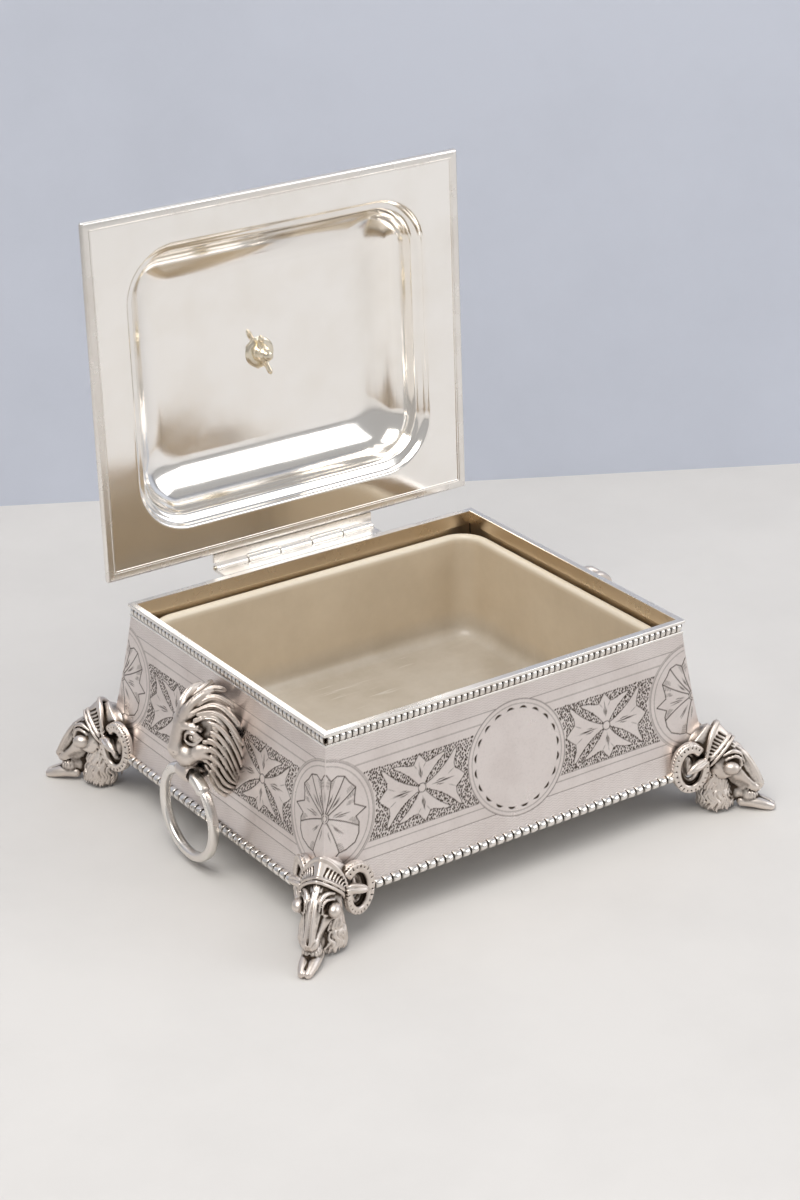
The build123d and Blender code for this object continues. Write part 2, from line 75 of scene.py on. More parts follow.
def smoothed(rows, count):
    """Rows of numbers joined by a Catmull-Rom curve and sampled count times."""
    rows = np.asarray(rows, float)
    padded = np.vstack([2 * rows[0] - rows[1], rows, 2 * rows[-1] - rows[-2]])
    at = np.linspace(0, len(rows) - 1, count)
    i = np.minimum(at.astype(int), len(rows) - 2)
    t = (at - i)[:, None]
    a, b, c, d = (padded[i + k] for k in range(4))
    return 0.5 * (2 * b + (c - a) * t + (2 * a - 5 * b + 4 * c - d) * t**2 + (3 * b - a - 3 * c + d) * t**3)


def make_mesh(name, points, faces, material, body, node, sharp=40, values=None, plan=None):
    """A smooth piece from points and blocks of faces, riding on a CAD body in place of a CAD node."""
    mesh = bpy.data.meshes.new(name)
    points = np.asarray(points, float).reshape(-1, 3)
    blocks = [np.asarray(block, np.int32) for block in faces]
    corners = np.concatenate([block.ravel() for block in blocks])
    totals = np.concatenate([np.full(len(block), block.shape[1], np.int32) for block in blocks])
    mesh.vertices.add(len(points))
    mesh.vertices.foreach_set("co", ((points + np.array(MIDDLE)) * MM).ravel())
    mesh.loops.add(len(corners))
    mesh.loops.foreach_set("vertex_index", corners)
    mesh.polygons.add(len(totals))
    mesh.polygons.foreach_set("loop_start", np.concatenate([[0], np.cumsum(totals)[:-1]]).astype(np.int32))
    mesh.polygons.foreach_set("loop_total", totals)
    for key, value in (values or {}).items():
        mesh.attributes.new(key, "FLOAT", "POINT").data.foreach_set("value", np.asarray(value, np.float32))
    if plan is not None:
        mesh.uv_layers.new(name="plan").data.foreach_set("uv", np.asarray(plan, np.float32)[corners].ravel())
    mesh.update(calc_edges=True)
    mesh.shade_smooth()
    if sharp:
        mesh.set_sharp_from_angle(angle=math.radians(sharp))
    mesh.materials.append(material)
    piece = bpy.data.objects.new(name, mesh)
    bpy.context.scene.collection.objects.link(piece)
    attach(piece, body)
    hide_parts(node)


def grid_faces(rows, columns, wrap_rows=False, wrap_columns=False):
    """Quads between the points of a grid, which may close on itself either way."""
    i = np.arange(rows if wrap_rows else rows - 1)
    j = np.arange(columns if wrap_columns else columns - 1)
    i, j = np.meshgrid(i, j, indexing="ij")
    down = (i + 1) % rows
    right = (j + 1) % columns
    quads = np.stack([i * columns + j, i * columns + right, down * columns + right, down * columns + j], -1)
    return quads.reshape(-1, 4)


def closed_stack(rings, flip=False):
    """Points and faces of a stack of rings, closed by a face at each end."""
    rows, count = rings.shape[:2]
    end = np.arange(count)[None, :]
    faces = [grid_faces(rows, count, wrap_columns=True), end[:, ::-1], end + (rows - 1) * count]
    return rings.reshape(-1, 3), [block[:, ::-1] for block in faces] if flip else faces


def spun(points, turn):
    """Points turned about the upright."""
    x, y, z = np.asarray(points).T
    c, s = math.cos(turn), math.sin(turn)
    return np.column_stack([c * x - s * y, s * x + c * y, z])


def raised(ring, height):
    """A flat ring of points at a height."""
    return np.column_stack([ring, np.full(len(ring), height)])


def rounded_ring(half_x, half_y, radius, corner_steps=10):
    """Points of a rounded rectangle about the middle, counter-clockwise."""
    radius = max(radius, 0.02)
    turn = np.linspace(0, math.pi / 2, corner_steps + 1)
    points = []
    for quarter, way in enumerate(((1, 1), (-1, 1), (-1, -1), (1, -1))):
        angle = turn + quarter * math.pi / 2
        middle = np.multiply(way, (half_x - radius, half_y - radius))
        points.append(middle + radius * np.stack([np.cos(angle), np.sin(angle)], -1))
    return np.concatenate(points)


def ring_stack(half_x, half_y, radius, profile, corner_steps=10):
    """Rounded rectangles stacked by a profile of (inset, height)."""
    return np.array([
        raised(rounded_ring(half_x - inset, half_y - inset, radius - inset, corner_steps), height)
        for inset, height in profile
    ])


def lathe(profile, steps, axis):
    """A turned form from (radius, distance along the axis), about an axis through the middle."""
    axis = Vector(axis).normalized()
    side = axis.orthogonal().normalized()
    turn = np.linspace(0, 2 * math.pi, steps, endpoint=False)
    ring = np.outer(np.cos(turn), side) + np.outer(np.sin(turn), axis.cross(side))
    profile = np.asarray(profile, float)
    points = profile[:, None, :1] * ring[None] + profile[:, None, 1:] * np.array(axis)
    return points.reshape(-1, 3), grid_faces(len(profile), steps, wrap_columns=True)


TINY = 1e-9
FAR = 4.0
CAST_GRAIN = 0.24
# Shares by which points move to their neighbours' mean and back, and how far round them a hollow is felt.
SURFACE_EASING = (0.5, -0.52, 0.5, -0.52)
HOLLOW_REACHES = ((0.5, 1.5), (1.2, 1.7), (2.6, 1.1))


class Clay:
    """A form modelled as a distance field on a grid and then turned into a mesh."""

    def __init__(self, low, high, step):
        self.low = np.array(low, float)
        self.step = step
        shape = [int(round((b - a) / step)) + 1 for a, b in zip(low, high)]
        self.field = np.full(shape, FAR, np.float32)

    def window(self, low, high):
        """The part of the grid between two corners, and its coordinates."""
        cells = []
        axes = []
        for axis in range(3):
            first = max(0, int((low[axis] - self.low[axis]) / self.step))
            last = min(self.field.shape[axis], int((high[axis] - self.low[axis]) / self.step) + 2)
            last = max(last, first + 1)
            cells.append(slice(first, last))
            axes.append((self.low[axis] + self.step * np.arange(first, last)).astype(np.float32))
        return tuple(cells), np.meshgrid(*axes, indexing="ij", sparse=True)

    def merge(self, cells, distance, blend, cut):
        """Adds a form to the clay, or cuts it away, with a soft join."""
        sign = -1.0 if cut else 1.0
        old = sign * self.field[cells]
        joint = np.maximum(blend - np.abs(old - distance), 0) / blend
        self.field[cells] = sign * (np.minimum(old, distance) - joint * joint * blend / 4)

    def level(self, low, high=math.inf):
        """Cuts off what lies below one height and above another."""
        z = self.window(self.low, self.low + self.step * np.array(self.field.shape))[1][2]
        self.field = np.maximum(self.field, np.maximum(low - z, z - high))

    def ball(self, middle, half, blend=0.6, cut=False):
        """An ellipsoid."""
        reach = np.array(half) + blend + 2 * self.step
        cells, grid = self.window(np.array(middle) - reach, np.array(middle) + reach)
        shares = [(axis - m) / h for axis, m, h in zip(grid, middle, half)]
        inner = np.sqrt(sum(share**2 for share in shares))
        outer = sum((share / h) ** 2 for share, h in zip(shares, half))
        self.merge(cells, inner * (inner - 1) / np.sqrt(outer + TINY), blend, cut)

    def tube(self, points, radii, blend=0.4, cut=False, count=0):
        """A round tube along points, with a radius at each."""
        points = np.asarray(points, float)
        radii = np.broadcast_to(np.asarray(radii, float), len(points))
        if count:
            rows = smoothed(np.column_stack([points, radii]), count)
            points, radii = rows[:, :3], np.maximum(rows[:, 3], 0.02)
        reach = radii.max() + blend + 2 * self.step
        cells, (x, y, z) = self.window(points.min(0) - reach, points.max(0) + reach)
        nearest = None
        for a, b, start, end in zip(points[:-1], points[1:], radii[:-1], radii[1:]):
            run = b - a
            steps = (x - a[0], y - a[1], z - a[2])
            share = sum(step * r for step, r in zip(steps, run)) / max(run @ run, TINY)
            share = np.clip(share, 0, 1)
            gap = np.sqrt(sum((step - share * r) ** 2 for step, r in zip(steps, run)))
            distance = gap - (start + share * (end - start))
            nearest = distance if nearest is None else np.minimum(nearest, distance)
        self.merge(cells, nearest, blend, cut)

    def loft(self, rows, origin, along, up, blend=0.6, power=2.0):
        """Ovals along a straight line, from rows of place, rise, half width and half height."""
        rows = smoothed(rows, 6 * len(rows))
        origin, along, up = (np.array(v, float) for v in (origin, along, up))
        side = np.cross(up, along)
        cells, grid = self.window(self.low, self.low + self.step * np.array(self.field.shape))

        def part(axis):
            return sum((line - start) * share for line, start, share in zip(grid, origin, axis))

        place = part(along)
        middle, wide, tall = (np.interp(place, rows[:, 0], rows[:, k]) for k in (1, 2, 3))
        ratio = (np.abs(part(side)) / wide) ** power + (np.abs(part(up) - middle) / tall) ** power
        distance = (ratio ** (1 / power) - 1) * np.minimum(wide, tall)
        distance = np.maximum(distance, np.maximum(rows[0, 0] - place, place - rows[-1, 0]))
        self.merge(cells, distance.astype(np.float32), blend, False)

    def crowded(self, reach):
        """How much clay there is round each point: half on a flat face, more in a hollow."""
        solid = (self.field < 0).astype(np.float32)
        size = 2 * int(reach / self.step) + 1
        for axis in range(3):
            pad = [(0, 0)] * 3
            pad[axis] = (size // 2 + 1, size // 2)
            total = np.cumsum(np.pad(solid, pad, mode="edge"), axis=axis)
            upper = np.take(total, np.arange(size, total.shape[axis]), axis=axis)
            lower = np.take(total, np.arange(0, total.shape[axis] - size), axis=axis)
            solid = (upper - lower) / size
        return solid

    def mesh(self):
        """Points, quads and how hollow the surface is at each point, by surface nets."""
        field = self.field
        shape = np.array(field.shape) - 1
        total = np.zeros((int(shape.prod()), 3), np.float64)
        count = np.zeros(int(shape.prod()), np.int32)
        crossings = []
        for axis in range(3):
            a = np.take(field, np.arange(field.shape[axis] - 1), axis=axis)
            b = np.take(field, np.arange(1, field.shape[axis]), axis=axis)
            at = np.argwhere((a < 0) != (b < 0))
            others = [k for k in range(3) if k != axis]
            keep = np.ones(len(at), bool)
            for k in others:
                keep &= (at[:, k] > 0) & (at[:, k] < shape[k])
            at = at[keep]
            low = a[tuple(at.T)]
            high = b[tuple(at.T)]
            place = at.astype(float)
            place[:, axis] += low / (low - high)
            cells = []
            for one, two in ((0, 0), (1, 0), (1, 1), (0, 1)):
                cell = at.copy()
                cell[:, others[0]] -= one
                cell[:, others[1]] -= two
                cells.append(np.ravel_multi_index(cell.T, shape))
            for cell in cells:
                np.add.at(total, cell, place)
                np.add.at(count, cell, 1)
            quads = np.stack(cells, -1)
            flip = (low < 0) == (axis != 1)
            quads[flip] = quads[flip][:, ::-1]
            crossings.append(quads)
        used = np.flatnonzero(count)
        index = np.full(len(count), -1, np.int64)
        index[used] = np.arange(len(used))
        quads = index[np.concatenate(crossings)]
        place = eased(total[used] / count[used][:, None], quads, SURFACE_EASING)
        hollow = sum(weight * (sampled(self.crowded(reach), place) - 0.5) for reach, weight in HOLLOW_REACHES)
        hollow = eased(hollow[:, None], quads, (0.5, 0.5))[:, 0]
        return self.low + self.step * place, quads, np.clip(hollow, -1, 1)


def sampled(values, place):
    """Values of a grid between its points."""
    cell = np.clip(place.astype(int), 0, np.array(values.shape) - 2)
    part = place - cell
    total = 0
    for corner in np.ndindex(*[2] * part.shape[1]):
        weight = np.prod(np.where(np.array(corner), part, 1 - part), axis=1)
        total = total + weight * values[tuple((cell + np.array(corner)).T)]
    return total


def eased(values, quads, shares):
    """Values at points, moved by shares towards the mean of their neighbours."""
    ends = np.concatenate([quads[:, [k, (k + 1) % 4]] for k in range(4)])
    ends = np.concatenate([ends, ends[:, ::-1]])
    count = np.maximum(np.bincount(ends[:, 0], minlength=len(values)), 1)
    for share in shares:
        sums = [np.bincount(ends[:, 0], column[ends[:, 1]], len(values)) for column in values.T]
        mean = np.stack([column / count for column in sums], -1)
        values = values + share * (mean - values)
    return values


def shader(name):
    """A new material, its node tree and its Principled shader."""
    material = bpy.data.materials.new(name)
    material.use_nodes = True
    tree = material.node_tree
    return material, tree, tree.nodes["Principled BSDF"]


def add(tree, kind, inputs=None, **settings):
    """A shader node with its settings, and its sockets set or linked."""
    node = tree.nodes.new(kind)
    for key, value in settings.items():
        setattr(node, key, value)
    for key, value in (inputs or {}).items():
        give(tree, node.inputs[key], value)
    return node


def give(tree, socket, value):
    """Sets a socket to a value, or links another socket to it."""
    if isinstance(value, bpy.types.NodeSocket):
        tree.links.new(value, socket)
    elif isinstance(value, tuple) and len(value) < len(socket.default_value):
        socket.default_value = (*value, 1)
    else:
        socket.default_value = value


def maths(tree, operation, *values):
    """The result of a sum on values or sockets."""
    return add(tree, "ShaderNodeMath", dict(enumerate(values)), operation=operation).outputs[0]


def ramp(tree, source, low, high, first=0.0, last=1.0):
    """A value from source, mapped from low..high to first..last."""
    return add(tree, "ShaderNodeMapRange", {0: source, 1: low, 2: high, 3: first, 4: last}).outputs[0]


def blended(tree, share, first, last):
    """A colour between two, which may be colours or sockets."""
    return add(tree, "ShaderNodeMix", {0: share, 6: first, 7: last}, data_type="RGBA").outputs[2]


def noise(tree, where, scale, detail=3.0, rough=0.55):
    """Soft random values between 0 and 1."""
    inputs = {"Vector": where, "Scale": scale, "Detail": detail, "Roughness": rough}
    return add(tree, "ShaderNodeTexNoise", inputs).outputs["Fac"]


def point_value(tree, name):
    """A value that the mesh holds at its points."""
    return add(tree, "ShaderNodeAttribute", attribute_name=name).outputs["Fac"]


def bumped(tree, height, strength, distance, normal=None, invert=False):
    """A surface direction, bent as if the surface had this height."""
    inputs = {"Height": height, "Strength": strength, "Distance": distance}
    if normal:
        inputs["Normal"] = normal
    return add(tree, "ShaderNodeBump", inputs, invert=invert).outputs[0]


# The first colour is dark patina in hollows, and also painted shade where the cast pieces are darkened by
# region.
PATINA_AND_PAINTED_SHADE = (0.06, 0.044, 0.032)
LINE_SHADE = (0.36, 0.31, 0.28)
STAIN, STAIN_SPOT = (0.68, 0.56, 0.41), (0.30, 0.22, 0.14)
SEAM_SHADE = (0.03, 0.022, 0.016)


def silver(name, colour, rough, tarnish, hollow=None, brushed=0.0, hammer=0.0, bands=False, stained=False):
    """Silver plate: a bright face with a soft bloom and fine wear, and darker where it is hollow, from real
    patina in the hollows and from painted shade.
    """
    material, tree, face = shader(name)
    where = add(tree, "ShaderNodeTexCoord").outputs["Object"]
    bloom = noise(tree, where, 60.0, 4.0, 0.6)
    specks = noise(tree, where, 1400.0, 2.0)
    shade = blended(tree, ramp(tree, bloom, 0.42, 0.72, 0.0, 0.55), colour, tarnish)
    depth = point_value(tree, "hollow")
    if hollow:
        # The hollow values darken the colour here: real patina in the hollows, plus painted shade where the
        # cast pieces add to them by region.
        patina_and_shade = maths(tree, "ADD", depth, ramp(tree, specks, 0.3, 0.7, -0.05, 0.05))
        shade = blended(tree, ramp(tree, patina_and_shade, *hollow), shade, PATINA_AND_PAINTED_SHADE)
    scratch_place = add(tree, "ShaderNodeMapping", {"Vector": where, "Scale": (1.0, 1.0, 9.0)}).outputs[0]
    rise = maths(tree, "ADD", noise(tree, scratch_place, 500.0, 2.0), specks)
    bump = bumped(tree, rise, 0.10 + brushed, 0.00003)
    if hammer:
        bump = bumped(tree, noise(tree, where, 45.0, 1.0), hammer, 0.0006, bump)
    if bands:
        lines = wavy_lines(tree)
        shade = blended(tree, ramp(tree, lines, 0.0, 1.0, 0.0, 0.30), shade, LINE_SHADE)
        bump = bumped(tree, lines, 0.35, 0.00008, bump, True)
    if stained:
        inner = point_value(tree, "inside")
        spots = ramp(tree, noise(tree, where, 110.0, 6.0, 0.7), 0.60, 0.74, 0.0, 0.5)
        shade = blended(tree, inner, shade, blended(tree, spots, STAIN, STAIN_SPOT))
        shade = blended(tree, maths(tree, "MULTIPLY", inner, depth), shade, SEAM_SHADE)
    give(tree, face.inputs["Base Color"], shade)
    give(tree, face.inputs["Roughness"], ramp(tree, bloom, 0.3, 0.7, rough * 0.75, rough * 1.35))
    give(tree, face.inputs["Metallic"], 1.0)
    give(tree, face.inputs["Normal"], bump)
    return material


def wavy_lines(tree):
    """Fine wavy lines along the borders of an engraved wall, drawn on its plan."""
    plan = add(tree, "ShaderNodeUVMap", uv_map="plan").outputs[0]
    along, up, _ = add(tree, "ShaderNodeSeparateXYZ", {0: plan}).outputs
    sway = maths(tree, "SINE", maths(tree, "MULTIPLY", along, 260.0))
    level = maths(tree, "MULTIPLY_ADD", sway, 0.0022, up)
    wave = maths(tree, "SINE", maths(tree, "MULTIPLY", level, 830.0))
    return maths(tree, "MULTIPLY", ramp(tree, wave, 0.55, 1.0), point_value(tree, "band"))


POLISHED = silver("polished_silver", (0.93, 0.90, 0.86), 0.18, (0.82, 0.76, 0.69), hammer=0.12)
BEADED = silver("beaded_silver", (0.86, 0.83, 0.79), 0.22, (0.62, 0.56, 0.50), hollow=(0.1, 0.7))
CAST = silver("cast_silver", (0.80, 0.735, 0.68), 0.36, (0.50, 0.42, 0.36), hollow=(-0.14, 0.26))
FIXING = silver("fixing_metal", (0.86, 0.79, 0.65), 0.24, (0.66, 0.54, 0.37), hollow=(-0.05, 0.5))

CAMERA_AT = (-448.779, -650.751, 423.764)
CAMERA_TURN = (65.622, 0.5515, -34.754)
CAMERA_LENS = 86.03
FLOOR_SHADE, BACKDROP_SHADE = (0.66, 0.645, 0.625), (0.55, 0.585, 0.67)
WALL_BEHIND = 0.243
WALL_TURN = math.radians(28.0)
STAGE_REACH = 3
STAGE_HEIGHT = 4
LAMPS = (
    ("key", (-0.55, -0.35, 1.15), 0.8, 11.0, (1.0, 0.97, 0.93)),
    ("fill", (0.9, -0.9, 0.7), 1.0, 6.0, (0.97, 0.98, 1.0)),
    ("top", (0.15, 0.30, 1.3), 1.2, 5.0, (1.0, 0.98, 0.96)),
)


def staged(name, thing):
    """An object of the stage, in the scene."""
    piece = bpy.data.objects.new(name, thing)
    bpy.context.scene.collection.objects.link(piece)
    return piece


def build_camera():
    """The camera of the photograph."""
    camera = staged("camera", bpy.data.cameras.new("camera"))
    camera.data.lens = CAMERA_LENS
    camera.data.sensor_fit = "VERTICAL"
    camera.data.sensor_height = 36.0
    camera.location = (Vector(CAMERA_AT) + MIDDLE) * MM
    camera.rotation_euler = Euler([math.radians(a) for a in CAMERA_TURN])
    bpy.context.scene.camera = camera


def build_sheet(name, colour, corners):
    """A cloudy matt sheet of the stage; the backdrop is clear when it is looked at from behind."""
    material, tree, face = shader(name)
    cloud = noise(tree, add(tree, "ShaderNodeTexCoord").outputs["Object"], 9.0, 6.0, 0.62)
    dark = tuple(c * 0.93 for c in colour)
    give(tree, face.inputs["Base Color"], blended(tree, ramp(tree, cloud, 0.4, 0.7), colour, dark))
    give(tree, face.inputs["Roughness"], 0.7)
    if name == "backdrop":
        from_behind = add(tree, "ShaderNodeNewGeometry").outputs["Backfacing"]
        clear = add(tree, "ShaderNodeBsdfTransparent").outputs[0]
        seen = add(tree, "ShaderNodeMixShader", {0: from_behind, 1: face.outputs[0], 2: clear})
        give(tree, tree.nodes["Material Output"].inputs["Surface"], seen.outputs[0])
    mesh = bpy.data.meshes.new(name)
    mesh.from_pydata([tuple(c) for c in corners], [], [(0, 1, 2, 3)])
    mesh.materials.append(material)
    staged(name, mesh)


def build_stage():
    """A pale floor and backdrop, and soft studio light."""
    away = Vector((math.sin(WALL_TURN), math.cos(WALL_TURN), 0))
    side = Vector((away.y, -away.x, 0)) * STAGE_REACH
    far, foot, up = away * STAGE_REACH, away * WALL_BEHIND, Vector((0, 0, STAGE_HEIGHT))
    build_sheet("floor", FLOOR_SHADE, [-far - side, -far + side, far + side, far - side])
    build_sheet("backdrop", BACKDROP_SHADE, [foot - side, foot + side, foot + side + up, foot - side + up])
    world = bpy.data.worlds.new("studio")
    bpy.context.scene.world = world
    world.use_nodes = True
    world.node_tree.nodes["Background"].inputs["Color"].default_value = (0.80, 0.79, 0.79, 1)
    world.node_tree.nodes["Background"].inputs["Strength"].default_value = 0.55
    for name, stand, size, power, colour in LAMPS:
        data = bpy.data.lights.new(name, "AREA")
        data.energy = power
        data.size = size
        data.color = colour
        lamp = staged(name, data)
        lamp.location = stand
        lamp.rotation_euler = (Vector((0, 0, 0.06)) - lamp.location).to_track_quat("-Z", "Y").to_euler()
    bpy.context.scene.view_settings.view_transform = "Standard"


build_camera()
build_stage()


def mould(clay, forms, place):
    """Balls and tubes from rows of points, size, blend, whether it cuts and the stops on its curve."""
    for points, size, blend, cut, *count in forms:
        points = place(points)
        if len(points) == 1:
            clay.ball(points[0], size, blend, cut)
        else:
            clay.tube(points, size, blend, cut, *count)


# Ram-head feet: u runs outward from the foot of the corner, w to its left, z up from the ground.
HEAD_TILT = math.radians(-41.0)
FACE_LINE = np.array([math.cos(HEAD_TILT), 0.0, math.sin(HEAD_TILT)])
FACE_UP = np.array([-math.sin(HEAD_TILT), 0.0, math.cos(HEAD_TILT)])
HEAD = np.array([0.0, 0.0, 19.0])
# Ovals down the face: place along it, rise, half width and half height.
SKULL = (
    (-6, 0, 5.2, 6.2), (-1, 0.3, 5.8, 6.9), (4, 0.4, 5.9, 7.2), (7.5, 0.4, 5.5, 7.1),
    (11, 0.7, 4.1, 6.1), (14.5, 1.2, 2.8, 4.5), (18.2, 1.5, 2.2, 2.7), (20.5, 1.2, 1.2, 1.3),
)
SKULL_POWER = 1.32
JAW = ((4, -2.4, 3.6, 3.6), (12, -1.4, 2.6, 2.5), (19.2, -0.6, 1.8, 1.5))
# The forms of one side of the face, by place along it, rise and place to the side.
CHEEK_AND_MUZZLE = (
    (((6.6, -0.8, 4.6),), (3.3, 1.7, 2.6), 1.2, False),
    (((18.2, 1.1, 1.25),), (1.7, 1.25, 1.5), 0.8, False),
)
NOSE_AND_LIPS = (
    (((8.6, 6.6, 1.6), (12.0, 6.0, 1.6), (15.5, 4.8, 1.6), (18.0, 3.5, 1.5)),
     (0.2, 0.45, 0.45, 0.2), 0.25, True, 14),
    (((18.2, 2.7, 2.0), (19.3, 2.9, 1.6), (20.1, 2.2, 1.0)), (0.3, 0.5, 0.25), 0.2, True, 8),
    (((20.9, 0.0, 0), (19.5, -0.4, 1.6), (15.4, -1.0, 2.7), (13.2, -0.4, 3.6)),
     (0.4, 0.42, 0.4, 0.25), 0.15, True, 10),
)
# The socket, the eye, its lids, the brow and its crease, the pupil and the hollow of the cheek, by place
# along the face, place to the side and lift from the skin.
EYE = (
    (((8.0, 3.5, 0.6),), (2.2, 1.0, 1.1), 0.8, True),
    (((8.0, 3.5, -2.4),), (2.6, 2.0, 2.0), 0.1, False),
    (((10.9, 2.5, -0.35), (8.8, 2.2, 0.1), (6.6, 2.9, 0.15), (5.2, 4.6, -0.1)),
     (0.28, 0.55, 0.58, 0.25), 0.2, False, 14),
    (((10.9, 2.5, -0.35), (9.8, 3.7, -0.1), (7.8, 4.7, 0.0), (5.2, 4.6, -0.1)),
     (0.25, 0.42, 0.42, 0.25), 0.2, False, 14),
    (((9.9, 1.9, 0.1), (7.4, 1.75, 0.35), (5.0, 2.6, 0.5), (3.6, 4.4, 0.2)),
     (0.3, 0.6, 0.7, 0.3), 0.3, False, 12),
    (((10.4, 2.2, 0.1), (7.8, 1.95, 0.4), (5.6, 2.9, 0.45), (4.3, 4.6, 0.2)), 0.28, 0.1, True, 12),
    (((8.1, 3.5, -0.35),), (0.6, 0.36, 0.36), 0.15, True),
    (((11.2, 2.6, 0.1), (14.2, 2.2, 0.1), (17.0, 1.9, 0.1)), (0.55, 0.5, 0.25), 0.5, True, 10),
)
FORELOCK = ((3.2, 1.6, 5), (5.0, 1.9, 4))
TIARA_REACH = 2.05
TIARA_BANDS = ((1.4, 0.46), (2.6, 0.52))
HORN_SPLAY = math.radians(31.0)
HORN_MIDDLE = (-4.9, 8.0, 16.0)
HORN_WIDE, HORN_TALL, HORN_STEPS = 4.7, 6.6, 44
EAR = ((-0.2, 6.0, 17.6), (-1.4, 8.0, 17.7), (-3.2, 10.2, 17.0), (-5.2, 11.8, 15.8))
WOOL_RINGS = ((26, 14.0, 4.5), (30, 11.6, 1.6), (34, 8.0, 0.5))
TOE = ((11.0, 1.3, 2.7), (14.4, 1.35, 2.6), (17.6, 1.15, 1.9), (20.0, 0.85, 1.2))
CLEFT = ((14.6, 0, 5.5), (17.0, 0, 3.9), (19.0, 0, 2.6), (20.9, 0, 0.2))
TUFT, TUFT_REACH = (12.8, 0, 4.7), 3.5


def on_head(rows, side=1):
    """Points along the face line, above it and to the side, as points of the foot."""
    return np.array([HEAD + a * FACE_LINE + e * FACE_UP + np.array([0.0, side * w, 0.0]) for a, e, w in rows])


def on_face(rows, side=1):
    """Points on the skin of the face, from place along it, place to the side and lift."""
    table = np.array(SKULL)
    points = []
    for a, w, lift in rows:
        w = side * w
        rise, wide, tall = (np.interp(a, table[:, 0], table[:, k]) for k in (1, 2, 3))
        e = rise + tall * max(1 - abs(w / wide) ** SKULL_POWER, 0.0) ** (1 / SKULL_POWER)
        points.append((a, e + 0.7 * lift, w + math.copysign(0.7 * lift, w)))
    return on_head(points)


def brow_point(turn, along, out=0.0):
    """A point round the head from its top: by turn, along the face line, and out from the skin."""
    c, s = math.cos(turn), math.sin(turn)
    upper = 1.35 if c > 0 else 2.0
    reach = (abs(s / 5.75) ** upper + abs(c / 7.2) ** upper) ** (-1 / upper)
    return (along, 0.8 + (reach + out) * c, (reach + out) * s)


def crest_height(turn):
    """How tall the tiara stands at a place round the brow."""
    return 0.5 + 5.0 * max(math.cos(turn * 0.72), 0.0) ** 1.6


def ram_head(clay):
    clay.loft(SKULL, HEAD, FACE_LINE, FACE_UP, power=SKULL_POWER)
    clay.loft(JAW, HEAD, FACE_LINE, FACE_UP, 0.8)
    clay.ball((-4.5, 0, 18.0), (6.5, 5.2, 7.6), 1.5)
    bridge = on_head(((4.0, 6.5, 0), (8.0, 6.45, 0), (11.5, 5.8, 0), (15.5, 4.4, 0), (19.0, 2.7, 0)))
    clay.tube(bridge, (0.7, 1.25, 1.35, 1.4, 1.5), 0.5, False, 14)
    for side in (-1, 1):
        mould(clay, CHEEK_AND_MUZZLE, lambda points: on_head(points, side))
        mould(clay, EYE, lambda points: on_face(points, side))
        mould(clay, NOSE_AND_LIPS, lambda points: on_head(points, side))
        for start, length, count in FORELOCK:
            for k in range(count):
                a, w = start + 0.3 * k, side * (0.35 + 0.85 * k)
                lock = on_face(((a, w, 0.12), (a + length, w - side * 0.35, 0.12)))
                clay.tube(lock, (0.3, 0.16), 0.12, True)
    parting = ((7.0, 7.7, 0), (10.5, 7.2, 0), (14.5, 6.1, 0), (18.2, 4.5, 0), (20.6, 2.2, 0), (20.9, 0.6, 0))
    clay.tube(on_head(parting), (0.15, 0.34, 0.36, 0.4, 0.42, 0.3), 0.15, True, 18)


def tiara(clay):
    """A crest over the brow with a rolled edge, two bands under it and a row of slots."""
    turns = np.linspace(-TIARA_REACH, TIARA_REACH, 41)

    def band(along, out, size, blend):
        clay.tube(on_head([brow_point(t, along(t), out) for t in turns]), size, blend)

    for share in np.linspace(0, 1, 14):
        band(lambda t: 1.2 - share * crest_height(t), -0.3 + 0.5 * share, 0.60, 0.3)
    band(lambda t: 1.3 - crest_height(t), 0.5, 0.78, 0.12)
    for place, size in TIARA_BANDS:
        band(lambda t: place, 0.4, size, 0.05)
    for turn in np.linspace(0.24, 1.62, 8):
        for side in (-1, 1):
            tall = 0.4 + 0.34 * crest_height(turn)
            root = brow_point(side * turn, 0.35, 0.45)
            tip = brow_point(side * (turn + 0.09), 0.35 - tall, 0.6)
            clay.tube(on_head((root, tip)), (0.32, 0.50), 0.1, True)


def horns(clay):
    """Ridged horns curled into a ring round a dark hollow, and the ears through them."""
    share = np.linspace(0, 1, HORN_STEPS)
    turn = np.radians(48 + 330 * share)
    half = 1.35 - 0.45 * share
    drift = -0.9 + 2.4 * share
    for side in (-1, 1):
        flat = np.array([-math.cos(HORN_SPLAY), side * math.sin(HORN_SPLAY), 0.0])
        out = np.array([math.sin(HORN_SPLAY), side * math.cos(HORN_SPLAY), 0.0])
        middle = np.array(HORN_MIDDLE) * (1, side, 1)

        def ring(grow, ahead):
            wide, tall = -np.cos(turn) * (HORN_WIDE + grow), np.sin(turn) * (HORN_TALL + grow)
            return middle + np.outer(wide, flat) + np.outer(drift + ahead, out) + np.outer(tall, (0, 0, 1))

        for lane in np.linspace(-0.62, 0.62, 3):
            for rank in np.linspace(-0.62, 0.62, 3):
                clay.tube(ring(lane * half, rank * half), 0.62 * half, 0.2)
        clay.tube(ring(-2.2, -1.2), 0.8, 0.5)
        clay.ball(middle - 1.3 * out, (1.3, 0.9, 3.2), 0.8)
        edge, inner, outer = (ring(a * half, b * half) for a, b in ((1.05, 0.45), (0.15, 1.3), (0.75, 1.2)))
        for k in range(1, HORN_STEPS - 1):
            clay.ball(edge[k], (0.36, 0.42, 0.36), 0.1, True)
            if k % 2:
                clay.tube([inner[k] - 0.35 * out, outer[k] - 0.35 * out], 0.26, 0.1, True)
        ear = np.array(EAR) * (1, side, 1)
        clay.tube(ear, (1.0, 1.55, 1.35, 0.3), 0.3, False, 12)
        clay.tube(ear + np.array([1.1, side * 0.6, 0.9]), (0.2, 0.5, 0.4, 0.1), 0.25, True, 12)


